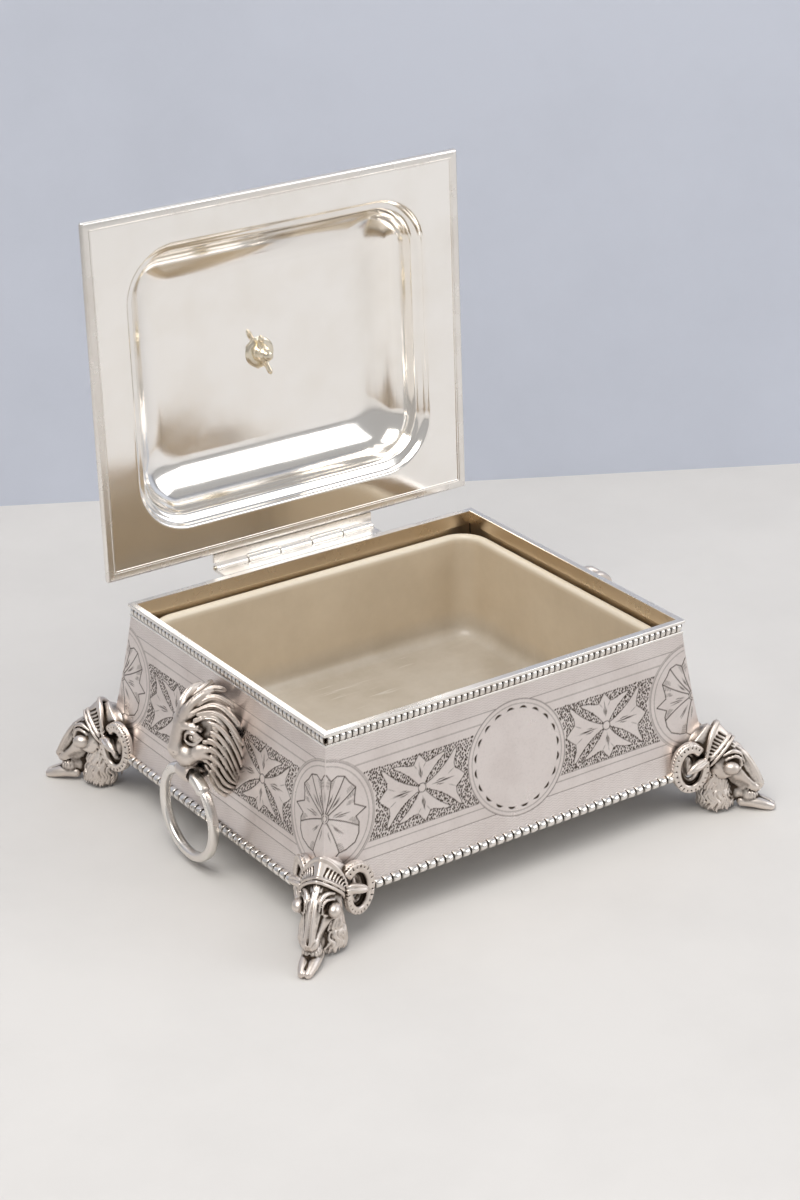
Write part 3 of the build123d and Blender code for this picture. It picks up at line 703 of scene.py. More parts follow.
def wool(clay):
    """Wavy locks that hang from the cheeks and throat to the ground."""
    throat = ((-1.0, 2.6, 4.5, 4.5), (5.0, 2.2, 4.4, 4.3), (12.0, 1.0, 3.4, 4.0), (14.5, 0.2, 2.8, 3.4))
    clay.loft(throat, (0, 0, 0), (0, 0, 1), (1, 0, 0), 0.8)
    for ring, (count, top, bottom) in enumerate(WOOL_RINGS):
        for k in range(count):
            turn = math.radians(-158 + 316 * (k + 0.5 * (ring % 2)) / count) + rng.uniform(-0.05, 0.05)
            c, s = math.cos(turn), math.sin(turn)
            phase = rng.uniform(0, 1.2) + 0.9 * ring
            swing = rng.uniform(0.5, 0.95)
            end = bottom + rng.uniform(0, 1.6)
            path = []
            for share in np.linspace(0, 1, 7):
                spread = 0.86 + 0.16 * ring * 0.6 + 0.20 * share - 0.12 * share**3
                curl = swing * math.sin(share * 9.5 + phase)
                u, w = 1.9 + 0.9 * share + 5.0 * c * spread - s * curl, 5.8 * s * spread + c * curl
                path.append((u, w, max(top + (end - top) * share, 0.45)))
            size = rng.uniform(0.40, 0.56)
            clay.tube(path, size * np.array([0.4, 0.9, 1.0, 1.0, 1.0, 0.8, 0.3]), 0.05, False, 16)
            clay.tube(np.array(path) + 0.7 * np.array([0.5 * c - s, 0.5 * s + c, 0]), 0.32, 0.08, True, 16)


def hoof(clay):
    """The foreleg, a hairy tuft and the cloven hoof under it."""
    leg = ((4.5, 4.6, 2.8, 3.6), (9.0, 5.4, 2.5, 3.0), (12.0, 5.4, 2.3, 2.7), (15.0, 4.4, 2.1, 2.6))
    clay.loft(leg, (0, 0, 0), (1, 0, 0), (0, 0, 1), 0.8)
    for side in (-1, 1):
        clay.tube(np.array(TOE) * (1, side, 1), (1.7, 1.75, 1.6, 1.25), 0.25, False, 12)
        clay.ball((13.2, side * 0.9, 5.2), (2.3, 1.5, 1.9), 0.5)
    clay.ball(TUFT, (3.1, 2.9, 2.9), 0.4)
    for row in range(4):
        for turn in np.linspace(-1.5, 1.5, 9) + 0.18 * (row % 2):
            strand = []
            for tilt in (1.25 - 0.3 * row, 0.95 - 0.3 * row):
                level = math.cos(tilt)
                u, w, z = 3.2 * level * math.cos(turn), 3.0 * level * math.sin(turn), 3.0 * math.sin(tilt)
                strand.append((TUFT[0] + u, w, TUFT[2] + z))
            clay.tube(strand, (0.34, 0.22), 0.08, True)
    clay.tube(CLEFT, (0.15, 0.42, 0.45, 0.45), 0.12, True)


def ram_foot():
    """One cast foot: a ram's head with a tiara and curled horns over a beard and a cloven hoof."""
    clay = Clay((-11.5, -13.5, -0.6), (21.6, 13.5, 29.6), CAST_GRAIN)
    for part in (ram_head, tiara, wool, horns, hoof):
        part(clay)
    clay.level(0.06)
    points, quads, hollow = clay.mesh()
    u, w, z = points.T
    # Painted shade: the hollow values are raised over the wool, the back of the head, inside the horn curls
    # and over the tuft, where shade falls.
    in_wool = np.clip((14.5 - z - 0.35 * u) / 3.0, 0, 1) * np.clip((9.5 - u) / 2.5, 0, 1)
    behind = np.clip((-3.0 - u) / 4.0, 0, 1)
    c, s = math.cos(HORN_SPLAY), math.sin(HORN_SPLAY)
    past, beyond, over = u - HORN_MIDDLE[0], np.abs(w) - HORN_MIDDLE[1], z - HORN_MIDDLE[2]
    in_horn = ((c * past - s * beyond) / 3.8) ** 2 + (over / 5.6) ** 2 < 1
    in_horn &= np.abs(s * past + c * beyond) < 1.0
    in_tuft = (np.linalg.norm(points - TUFT, axis=1) < TUFT_REACH) & (u > 11.0)
    return points, quads, hollow + 0.20 * in_wool + 0.14 * behind + 0.3 * in_horn + 0.12 * in_tuft

# Lion masks: x runs out from the wall, y to the left of the face, z up from the ground.
BROW_AND_MUZZLE = (
    (((5.0, 0, 44.0),), (8.0, 7.8, 9.0), 1.0, False),
    (((11.2, 0, 50.0), (14.0, 0, 46.8), (15.8, 0, 43.4), (17.0, 0, 40.4)),
     (3.4, 2.6, 2.0, 1.9), 1.6, False, 10),
    (((13.4, 0, 38.6),), (4.2, 5.0, 3.9), 1.8, False),
    (((17.0, 0, 39.9),), (1.5, 2.3, 1.4), 0.8, False),
    (((12.4, 0, 35.0),), (3.2, 3.4, 2.0), 0.8, False),
)
LIDS = (
    (((14.6, 2.2, 43.0), (14.3, 3.3, 45.5), (13.3, 5.4, 45.9), (11.4, 7.0, 44.2)),
     (0.3, 0.62, 0.62, 0.3), 0.15, False, 14),
    (((14.6, 2.2, 43.0), (14.2, 3.6, 42.2), (13.2, 5.6, 42.4), (11.4, 7.0, 44.2)),
     (0.25, 0.5, 0.5, 0.3), 0.15, False, 14),
)
MOUTH = ((17.2, 0.4, 35.9), (16.0, 2.8, 34.9), (13.6, 5.2, 35.2), (11.4, 6.0, 37.2))
IRIS_TURNS = np.linspace(0, 2 * math.pi, 14)
# The lip, cheek, temple, brow, socket and eye, then the lids, the iris and pupil, the nostril and the mouth.
FACE_SIDE = (
    (((14.2, 2.6, 37.6),), (2.7, 3.1, 2.6), 1.4, False),
    (((11.4, 5.7, 39.9),), (2.8, 2.6, 2.8), 2.0, False),
    (((10.6, 7.4, 47.2),), (1.9, 1.7, 2.4), 1.0, True),
    (((14.4, 1.6, 46.7), (13.3, 4.0, 47.4), (11.2, 5.8, 46.4)), (0.8, 1.1, 0.6), 1.4, False, 10),
    (((14.2, 4.5, 44.2),), (1.0, 2.0, 1.5), 0.8, True),
    (((12.35, 4.5, 44.2),), (1.8, 2.0, 1.7), 0.1, False),
    *LIDS,
    ([(13.95 - 0.3 * math.cos(t), 4.5 + math.cos(t), 44.2 + math.sin(t)) for t in IRIS_TURNS],
     0.28, 0.1, True),
    (((14.2, 4.5, 44.2),), (0.45, 0.34, 0.34), 0.1, True),
    (((18.3, 1.7, 39.5),), (0.4, 0.6, 0.4), 0.35, True),
    (MOUTH, (0.25, 0.42, 0.42, 0.2), 0.3, True, 12),
)
TOP_LOCK = ((13.4, 0.7, 48.4), (13.4, 1.3, 50.8), (11.8, 2.0, 53.4), (8.6, 2.6, 55.6), (5.0, 3.0, 56.2))
# Rows of strands: where they start between hairline and edge, their lift and their size.
MANE_ROWS = ((0.0, 0.0, 1.1), (0.12, 1.0, 1.0))
STRANDS = 10
LUG_X, LUG_Z = 12.9, 31.4
MASK_LOW, MASK_TOP = 19.6, 57.2


def lion_face(clay):
    mould(clay, BROW_AND_MUZZLE, np.array)
    for side in (-1, 1):
        mould(clay, FACE_SIDE, lambda points: np.array(points) * (1, side, 1))
    clay.tube([(18.0, 0, 39.0), (17.6, 0, 37.6), (16.9, 0, 35.8)], (0.28, 0.3, 0.3), 0.2, True)


def hair_path(turn, sweep, start, side, lift, phase):
    """A strand from the hairline round the face over the mane to its edge, turned down as it goes."""
    path = []
    for s in np.linspace(start, 1, 9):
        at = min(turn + sweep * s**1.4 + 0.05 * math.sin(8.0 * s + phase), 2.95)
        hairline = np.array([11.8 - 1.3 * at, 7.5 * math.sin(at), 41.4 + 9.2 * math.cos(at)])
        outline = np.array([0.6, 12.2 * math.sin(at), 38.4 + 17.6 * math.cos(at)])
        point = hairline + (outline - hairline) * (1 - (1 - s) ** 1.7)
        bulge = math.sin(math.pi * min(0.15 + 0.9 * s, 1.0)) ** 0.7
        path.append(point + bulge * (2.7 + lift) * np.array([0.8, 0.5 * math.sin(at), 0.5 * math.cos(at)]))
    return np.array(path) * np.array([1, side, 1])


def strand(clay, path, size):
    """A lock with a groove along its back and another along its side."""
    share = np.linspace(0, 1, len(path))
    radii = size * (0.6 + 0.75 * share) * np.sqrt(1 - 0.96 * share**4)
    clay.tube(path, radii, 0.05, False, 24)
    out = path - np.array([-2.0, 0, 39.0])
    out = out / np.linalg.norm(out, axis=1)[:, None]
    across = np.cross(np.gradient(path, axis=0), out)
    across = across / np.linalg.norm(across, axis=1)[:, None]
    clay.tube(path + radii[:, None] * (0.9 * out + 0.25 * across), 0.24, 0.08, True, 24)
    clay.tube(path + radii[:, None] * (0.35 * out + 0.98 * across), 0.36, 0.1, True, 24)


def mane(clay):
    """Long strands that sweep from a parting over the forehead down both sides of the face."""
    clay.ball((-1.0, 0, 37.6), (6.6, 10.4, 14.0), 1.5)
    for side in (-1, 1):
        for start, lift, size in MANE_ROWS:
            for k in range(STRANDS):
                turn = 0.06 + 2.55 * (k + 0.5 * (start > 0)) / STRANDS
                sweep = (0.3 + 1.15 * math.exp(-((turn - 0.7) / 0.9) ** 2)) * (1 - math.exp(-turn / 0.3))
                strand(clay, hair_path(turn, sweep, start, side, lift, 0.6 * k), size)
        lock = np.array(TOP_LOCK) * (1, side, 1)
        clay.tube(lock, (0.5, 1.0, 1.3, 1.3, 0.7), 0.3, False, 16)
        clay.tube(lock + np.array([0.9, 0, 0.7]), (0.12, 0.24, 0.26, 0.2, 0.1), 0.1, True, 16)


def lion_mask():
    """One cast mask with its lug, bored for the drop ring."""
    clay = Clay((-2.5, -14.0, 19.2), (19.4, 14.0, 58.2), CAST_GRAIN)
    mane(clay)
    lion_face(clay)
    clay.tube([(LUG_X, -1.6, LUG_Z), (LUG_X, 1.6, LUG_Z)], 2.9, 0.4)
    clay.tube([(LUG_X, -6.0, LUG_Z), (LUG_X, 6.0, LUG_Z)], 2.2, 0.1, True)
    clay.level(MASK_LOW, MASK_TOP)
    points, quads, hollow = clay.mesh()
    x, _, z = points.T
    # Painted shade: the hollow values are raised over the lower mane and under the muzzle, where shade falls.
    in_mane = np.clip((10.5 - x) / 4.0, 0, 1) * np.clip(0.4 + (47.0 - z) / 12.0, 0, 1)
    under = np.clip((37.0 - z) / 3.0, 0, 1) * np.clip((12.0 - x) / 3.0, 0, 1)
    return points, quads, hollow + 0.20 * in_mane + 0.12 * under

# Engraved walls. A plan point is (s along the wall to the right as it is looked at, z up from the ground).
RIM_X, RIM_Y = node_box("top_rim")[1][:2]
WALL_LOW, WALL_TOP = (corner.z for corner in node_box("front_wall"))
WALL_TURNS = {"front": 0, "back": math.pi, "left": -math.pi / 2, "right": math.pi / 2}
FLARE = np.polyfit((WALL_LOW, 36.0, WALL_TOP), (5.8, 2.2, -0.6), 2)
WALL_SHEET = 1.2
SEAM = 0.994
PLATE_STEP = 0.1
DEEPEST = 0.11
PLAN_SCALE = 0.01
PUNCH_PITCH = 0.86
PANEL_LOW, PANEL_TOP = 26.0, 46.6
BORDER_LINES = (52.5, 49.4, 24.2, 21.0)
CARTOUCHE = (0.3, 36.0, 17.5)
CARTOUCHE_CUTS = 20
MEDALLION_Z, MEDALLION_R = 36.9, 17.0
FLOWERS = {"long": ((-33.6, 36.5), (33.6, 36.5)), "short": ((-24.5, 35.9), (24.5, 35.9))}
# Outlines as an angle in degrees and a reach.
LONG_LEAF = ((0, 15.2), (7, 13.6), (14, 12.2), (22, 12.8), (30, 15.0), (34, 15.9))
SHORT_LEAF = ((0, 10.2), (8, 8.8), (16.5, 7.7), (26, 8.3), (38, 10.5), (47, 12.6))
DOTTED_LEAF = 36.5
# Cuts along a leaf: swing, near end, far end and width.
LEAF_CUTS = ((0, 0.22, 0.66, 0.42), (7, 0.30, 0.56, 0.36), (-6, 0.3, 0.52, 0.34), (2, 0.36, 0.78, 0.26))
ROSETTE = (
    (0, 14.3), (10, 12.5), (19, 10.7), (27, 12.5), (38, 13.2), (49, 12.6), (61, 13.0), (72, 11.2), (82, 10.5),
    (92, 14.1), (102, 10.7), (110, 12.0), (124, 13.0), (136, 13.3), (152, 12.4), (162, 11.7), (172, 12.5),
    (180, 14.0),
)
ROSETTE_PETALS = (19, 38, 61, 115, 162)
ROSETTE_CUTS = (9, 28, 30, 49, 52, 86, 92, 97, 136, 140, 170)
ROSETTE_FRINGES = (15, 23, 57, 66, 76, 107, 113, 156, 160)


def flare(z):
    """How far the wall's face stands out from the rim at a height."""
    return np.polyval(FLARE, z)


class Plate:
    """The depth of cut over one wall, on a fine grid of plan points."""

    def __init__(self, half):
        self.left = -half
        self.s = np.arange(-half, half + PLATE_STEP, PLATE_STEP)
        self.z = np.arange(WALL_LOW, WALL_TOP + PLATE_STEP, PLATE_STEP)
        shape = (len(self.z), len(self.s))
        self.depth = np.zeros(shape, np.float32)
        self.panel = np.zeros(shape, bool)
        self.blank = np.zeros(shape, bool)
        self.border = np.ones(shape, bool)

    def window(self, points, reach):
        """The cells round some points, and their places along and up the wall."""
        low = np.min(points, 0) - reach
        high = np.max(points, 0) + reach
        a, b = np.searchsorted(self.s, (low[0], high[0]))
        c, d = np.searchsorted(self.z, (low[1], high[1]))
        return (slice(c, d), slice(a, b)), self.s[None, a:b], self.z[c:d, None]

    def line(self, points, width=0.36, depth=DEEPEST, taper=False, within=None):
        """A cut along points, which may swell from nothing, die away, and keep within a mask."""
        points = np.asarray(points, float)
        count = len(points) - 1
        for k, (a, b) in enumerate(zip(points[:-1], points[1:])):
            cells, s, z = self.window((a, b), width)
            run = b - a
            share = np.clip(((s - a[0]) * run[0] + (z - a[1]) * run[1]) / max(run @ run, TINY), 0, 1)
            gap = np.hypot(s - a[0] - share * run[0], z - a[1] - share * run[1])
            size = width
            if taper:
                size = width * np.sin(math.pi * np.clip((k + share) / count, 0.04, 0.96)) ** 0.6
            cut = depth * (size / width) * np.clip(1 - (2 * gap / size) ** 2, 0, 1)
            cut = cut if within is None else cut * within[cells]
            self.depth[cells] = np.maximum(self.depth[cells], cut)

    def clear(self, outline):
        """Keeps the punch marks out of a closed outline."""
        outline = np.asarray(outline, float)
        cells, s, z = self.window(outline, 0.3)
        hit = np.zeros((z.size, s.size), bool)
        for (s1, z1), (s2, z2) in zip(outline, np.roll(outline, -1, 0)):
            if z1 != z2:
                hit ^= ((z1 > z) != (z2 > z)) & (s < (s2 - s1) * (z - z1) / (z2 - z1) + s1)
        self.blank[cells] |= hit

    def punch(self):
        """Irregular punch marks over the panels, where no leaf is."""
        marks = self.panel & ~self.blank
        rows = np.arange(PANEL_LOW + 0.4, PANEL_TOP - 0.1, PUNCH_PITCH * 0.8)
        for k, row in enumerate(rows):
            for s in np.arange(self.left + PUNCH_PITCH * 0.5 * (k % 2), -self.left, PUNCH_PITCH):
                at = np.array((s, row)) + rng.uniform(-0.24, 0.24, 2)
                j, i = (int(distance / PLATE_STEP) for distance in at - (self.left, WALL_LOW))
                if 0 <= i < marks.shape[0] and 0 <= j < marks.shape[1] and marks[i, j]:
                    lean = rng.uniform(0.5, 2.4)
                    way = np.array((math.cos(lean), math.sin(lean))) * rng.uniform(0.05, 0.22)
                    self.line((at - way, at + way), 0.52, 0.15)

    def at(self, s, z):
        """The depth of cut at plan points."""
        place = np.stack([z - WALL_LOW, s - self.left], -1).reshape(-1, 2) / PLATE_STEP
        return sampled(self.depth, np.clip(place, 0, np.array(self.depth.shape) - 1.01)).reshape(s.shape)


def polar(middle, angle, reach):
    """A plan point from an angle in degrees, counter-clockwise from the right, and a distance."""
    turn = math.radians(angle)
    return (middle[0] + reach * math.cos(turn), middle[1] + reach * math.sin(turn))


def circle(middle, reach, count=25):
    return [polar(middle, a, reach) for a in np.linspace(0, 360, count)]


def leaf_half(middle, axis, side, leaf):
    """One side of a broad leaf: three points at its tip, then a curve."""
    tip = [polar((0, 0), a, r) for a, r in leaf[:3]]
    edge = smoothed([polar((0, 0), a, r) for a, r in leaf[2:]], 12)
    c, s = math.cos(math.radians(axis)), math.sin(math.radians(axis))
    points = tip + [tuple(point) for point in edge[1:]]
    return [(middle[0] + x * c - side * y * s, middle[1] + x * s + side * y * c) for x, y in points]


def dotted_side(middle, axis, side, reach):
    """A point on the side of the narrow leaf that stands beside a broad one."""
    half = 1.2 * math.sin(math.pi * min(max((reach - 1.2) / 15.2, 0), 1)) ** 0.8
    lean = DOTTED_LEAF if axis % 180 == 0 else 90 - DOTTED_LEAF
    return polar(middle, axis + side * lean - side * math.degrees(half / max(reach, 1.2)), reach)


def engrave_flower(plate, middle):
    """Four broad leaves with three points each, and four narrow dotted leaves between them."""
    for axis, leaf in ((0, LONG_LEAF), (180, LONG_LEAF), (90, SHORT_LEAF), (270, SHORT_LEAF)):
        outline = []
        for side in (1, -1):
            half = leaf_half(middle, axis, side, leaf)
            sides = [dotted_side(middle, axis, side, r) for r in np.linspace(leaf[-1][1], 1.6, 12)[1:]]
            plate.line(half)
            plate.line([half[-1]] + sides)
            plate.line([half[2], polar(middle, axis + side * 9, leaf[2][1] * 0.74)], 0.3, 0.08, True)
            outline += half + sides if side > 0 else (half + sides)[::-1]
        plate.clear(outline)
        for swing, near, far, width in LEAF_CUTS:
            stops = ((0.5 * swing, near), (swing, (near + far) / 2), (0.8 * swing, far))
            plate.line([polar(middle, axis + a, leaf[0][1] * r) for a, r in stops], width, 0.12, True)
    plate.line(circle(middle, 1.35), 0.34)
    plate.clear(circle(middle, 1.35))


def engrave_medallion(plate, middle):
    """Two rings and a many-pointed flower about a vertical edge of the box."""
    for reach, width, depth in ((15.05, 0.45, 0.05), (16.5, 0.5, 0.06), (17.0, 0.4, 0.05)):
        plate.line(circle(middle, reach, 121), width, depth)
    for side in (1, -1):
        def point(angle, reach):
            return polar(middle, 90 + side * angle, reach)

        def edge(angle):
            return np.interp(angle, *zip(*ROSETTE))

        for a, b in zip(ROSETTE[:-1], ROSETTE[1:]):
            plate.line((point(*a), point(*b)), 0.42, 0.12)
        for angle in ROSETTE_PETALS:
            bend = 6 if angle < 90 else -6
            shares = (0, 0.33, 0.66, 1)
            path = [point(angle + bend * (1 - t), 1.5 + (edge(angle) - 1.5) * t) for t in shares]
            plate.line(smoothed(path, 12), 0.42, 0.12)
        for angle in ROSETTE_CUTS:
            far = 0.52 * edge(angle) + rng.uniform(0, 2.6)
            near = point(angle, 2.6 + rng.uniform(0, 1.5))
            plate.line([near, point(angle + 1.5, far * 0.7), point(angle, far)], 0.36, 0.11, True)
        for angle in ROSETTE_FRINGES:
            for k in range(5):
                fringe = angle + 1.3 * k
                start = point(fringe - 2.6, edge(angle) - 0.3)
                plate.line([start, point(fringe - 4.5, edge(angle) - 2.2 - 0.25 * k)], 0.2, 0.06)
    for reach in (1.5, 0.9):
        plate.line(circle(middle, reach), 0.34)


def engrave_cartouche(plate):
    """A blank round with a ring of crescent cuts and a double border."""
    middle = CARTOUCHE[:2]
    for reach, width, depth in ((16.2, 0.45, 0.05), (17.5, 0.5, 0.07)):
        plate.line(circle(middle, reach, 145), width, depth)
    for k in range(CARTOUCHE_CUTS):
        angle = 360 * k / CARTOUCHE_CUTS + 4
        swings = (-5.6, -2.8, 0, 2.8, 5.6)
        bow = [polar(middle, angle + a, 14.7 + 0.42 * math.cos(math.radians(a) * 15)) for a in swings]
        plate.line(smoothed(bow, 9), 0.85, 0.16, True)


def engrave(long, half, rim_half):
    """One wall's engraving: borders, panels, flowers, medallions, and a cartouche on a long wall."""
    plate = Plate(half)
    edge = rim_half + flare(MEDALLION_Z)
    s, z = np.meshgrid(plate.s, plate.z)
    rounds = [(-edge, MEDALLION_Z, MEDALLION_R), (edge, MEDALLION_Z, MEDALLION_R)] + [CARTOUCHE] * long
    plate.panel = (z > PANEL_LOW) & (z < PANEL_TOP) & (np.abs(s) < edge)
    for middle_s, middle_z, reach in rounds:
        away = np.hypot(s - middle_s, z - middle_z)
        plate.border &= away > reach
        plate.panel &= away > reach + 0.4
    for height in BORDER_LINES:
        reach = rim_half + flare(height)
        plate.line(((-reach, height), (reach, height)), 0.34, 0.07, within=plate.border)
    if long:
        engrave_cartouche(plate)
    for middle in FLOWERS["long" if long else "short"]:
        engrave_flower(plate, middle)
    for middle_s in (-edge, edge):
        engrave_medallion(plate, (middle_s, MEDALLION_Z))
    for height, row in ((PANEL_LOW, PANEL_LOW + 0.2), (PANEL_TOP, PANEL_TOP - 0.2)):
        run = plate.panel[int((row - WALL_LOW) / PLATE_STEP)]
        ends = plate.s[:-1][np.diff(run.astype(int)) != 0]
        for first, last in zip(ends[::2], ends[1::2]):
            plate.line(((first, height), (last, height)), 0.26, 0.06)
    plate.punch()
    return plate


def build_wall(side, step):
    """One wall as a sheet, its outer face carrying the engraving."""
    long = side in ("front", "back")
    rim_half, depth = (RIM_X, RIM_Y) if long else (RIM_Y, RIM_X)
    half = rim_half + flare(WALL_LOW)
    plate = engrave(long, half, rim_half)
    columns = int(2 * half / step) + 1
    rows = int((WALL_TOP - WALL_LOW) / step) + 1
    across = np.linspace(-1, 1, columns)
    z = np.linspace(WALL_LOW, WALL_TOP, rows)
    out = flare(z)
    s = across * (rim_half + out)[:, None]
    grid_z = np.broadcast_to(z[:, None], s.shape)
    cut = plate.at(s, grid_z) * np.clip((1 - np.abs(across)) * half / 0.5, 0, 1)
    parts = [np.stack([s, depth + out[:, None] - cut, grid_z], -1).reshape(-1, 3)]
    for share in (-1.0, -SEAM, SEAM, 1.0):
        parts.append(np.column_stack([share * (rim_half + out - WALL_SHEET), depth + out - WALL_SHEET, z]))
    plan = np.vstack(parts)
    index = np.arange(len(plan))
    face, backs = index[:rows * columns].reshape(rows, columns), index[rows * columns:].reshape(4, rows)
    loop = [face[:, 0], *backs, face[:, -1]]
    faces = [grid_faces(rows, columns)]
    faces += [np.column_stack([a[:-1], a[1:], b[1:], b[:-1]]) for a, b in zip(loop[:-1], loop[1:])]
    faces.append(np.concatenate([face[-1], backs[::-1, -1]])[None, :])
    faces.append(np.concatenate([face[0, ::-1], backs[:, 0]])[None, :])
    cells = tuple((distance / PLATE_STEP).astype(int) for distance in (grid_z - WALL_LOW, s - plate.left))
    in_border = plate.border[cells[0], cells[1].clip(0, len(plate.s) - 1)]
    in_border &= (grid_z < BORDER_LINES[-1] - 0.2) | (grid_z > BORDER_LINES[0] + 0.3)
    values = {
        "hollow": np.append(cut / DEEPEST, np.repeat((1, 0, 0, 1), rows)),
        "inside": index >= rows * columns,
        "band": np.append(in_border, np.zeros(4 * rows)),
    }
    points = spun(plan * (1, -1, 1), WALL_TURNS[side])
    node = side + "_wall"
    make_mesh("engraved_wall_" + side, points, faces, ENGRAVED, "box", node, 50,
              values, plan[:, [0, 2]] * PLAN_SCALE)


ENGRAVED = silver(
    "engraved_silver", (0.78, 0.72, 0.695), 0.34, (0.64, 0.57, 0.54), (0.0, 0.95), bands=True, stained=True
)
for wall_side in WALL_TURNS:
    build_wall(wall_side, 0.25)

# Rim, base moulding, bead rows and liner. A profile is a row of (inset, height) points.
STRIP_WIDTH, STRIP_FILLET, BEAD_BAND = 2.2, 1.8, 1.1
BASE_STRIP = 3.4
FINE_BEADS = (2.1, 0.40, 10)
THICK_BEADS = (3.1, 0.45, 12)
BEAD_ROUNDNESS = 3.2
LINER_WALL, LINER_CORNER, LINER_FLOOR, LINER_LIP = 2.6, 10.0, 4.2, 0.6


def arc(middle, reach, start, end, steps=6):
    """Points of a profile on an arc, its angles in degrees."""
    return [polar(middle, a, reach) for a in np.linspace(start, end, steps)]


def build_frame(
    name, half_x, half_y, profile, material, node, body="box", corner=0.35, turn=None, stained=False
):
    """A mitred moulding: a closed profile led round a rectangle."""
    rings = ring_stack(half_x, half_y, corner, profile, 4)
    points = rings.reshape(-1, 3) if turn is None else turn(rings)
    deep = max(inset for inset, height in profile)
    inner = np.repeat([float(stained and inset > deep - 0.01) for inset, _ in profile], rings.shape[1])
    faces = [grid_faces(*rings.shape[:2], True, True)]
    make_mesh(name, points, faces, material, body, node, 32, {"inside": inner})


def build_rim():
    """The plate on the walls with its fillet and the band behind the beads, and the band at the foot."""
    low, high = node_box("top_rim")
    bead_top, bead_low = high.z - 1.0, low.z + 0.8
    fillet = STRIP_WIDTH - STRIP_FILLET
    profile = [(0.25, high.z)] + arc((0.25, high.z - 0.25), 0.25, 90, 180, 4) + [(0.0, bead_top + 0.2)]
    profile += arc((0.2, bead_top + 0.2), 0.2, 180, 270, 4) + [(BEAD_BAND, bead_top), (BEAD_BAND, bead_low)]
    profile += [(fillet + 0.3, bead_low)] + arc((fillet + 0.25, bead_low - 0.25), 0.25, 90, 180, 4)
    profile += [(fillet, low.z + 0.15), (fillet + 0.15, low.z)]
    profile += [(STRIP_WIDTH, low.z), (STRIP_WIDTH, high.z - 0.15), (STRIP_WIDTH - 0.15, high.z)]
    build_frame("rim_moulding", high.x, high.y, profile[::-1], RIM, "top_rim", stained=True)
    low, high = node_box("base_moulding")
    profile = [(0.3, high.z)] + arc((0.3, high.z - 0.3), 0.3, 90, 180, 4)
    profile += arc((0.3, low.z + 0.3), 0.3, 180, 270, 4) + [(BASE_STRIP, low.z), (BASE_STRIP, high.z)]
    build_frame("base_band", high.x, high.y, profile[::-1], BEADED, "base_moulding")


def build_beads(node, pitch, groove, steps):
    """A row of round-fronted beads with narrow gaps, in the space of the CAD row."""
    low, high = node_box(node)
    size = high - low
    side = node.rsplit("_", 1)[1]
    along = 0 if side in ("front", "back") else 1
    across = 1 - along
    sign = -1.0 if side in ("front", "left") else 1.0
    back = low[across] if sign > 0 else high[across]
    run = size[along]
    count = round(run / pitch)
    part = np.linspace(-0.5, 0.5, steps, endpoint=False)
    places = np.append((np.arange(count)[:, None] + 0.5 + part) * run / count, run) - run / 2
    front = groove + (1 - groove) * (1 - np.abs(2 * part) ** BEAD_ROUNDNESS) ** 0.5
    fronts = np.append(np.tile(front, count), groove)[:, None]
    turns = np.linspace(-math.pi / 2, math.pi / 2, 11)
    ring_out = np.maximum(np.cos(turns), 0) ** 0.85 * size[across]
    ring_up = np.sin(turns) * size.z / 2
    points = np.zeros((len(places), len(turns), 3))
    points[..., along] = places[:, None] + (low[along] + high[along]) / 2
    points[..., across] = back + sign * ring_out * fronts
    points[..., 2] = (low.z + high.z) / 2 + ring_up * (0.55 + 0.45 * fronts)
    hollow = np.repeat((1 - fronts) * 2.2, len(turns))
    faces = grid_faces(len(places), len(turns), wrap_columns=True)
    if (sign > 0) == (along == 0):
        faces = faces[:, ::-1]
    make_mesh(node + "_beads", points, [faces], BEADED, "box", node, 60, {"hollow": hollow})


def build_liner():
    """A pressed liner with rounded corners and a thick rolled rim."""
    low, high = node_box("glass_liner")
    floor, half = low.z + LINER_FLOOR, LINER_WALL / 2
    profile = [(58.0, low.z), (6.6, low.z), (6.0, low.z + 0.8), (3.0, low.z + 1.2)]
    profile += arc((3.4, low.z + 4.6), 3.4, 250, 180, 7) + [(0.0, low.z + 10), (0.0, high.z - 3)]
    profile += arc((half - LINER_LIP / 2, high.z - half), half + LINER_LIP / 2, 200, 0, 11)
    profile += [(LINER_WALL, high.z - 3), (LINER_WALL, floor + 5)]
    profile += arc((LINER_WALL + 4.0, floor + 4.0), 4.0, 180, 270, 9)
    profile += [(20.0, floor - 0.1), (50.0, floor - 0.1)]
    rings = []
    for inset, height in profile:
        keep = min(inset, min(high.x, high.y) - 0.5)
        flat = rounded_ring(high.x - keep, high.y - keep, max(LINER_CORNER - keep, 1.0))
        rings.append(raised(flat, height))
    points, faces = closed_stack(np.array(rings))
    make_mesh("pressed_liner", points, faces, LINER, "box", "glass_liner", 50)


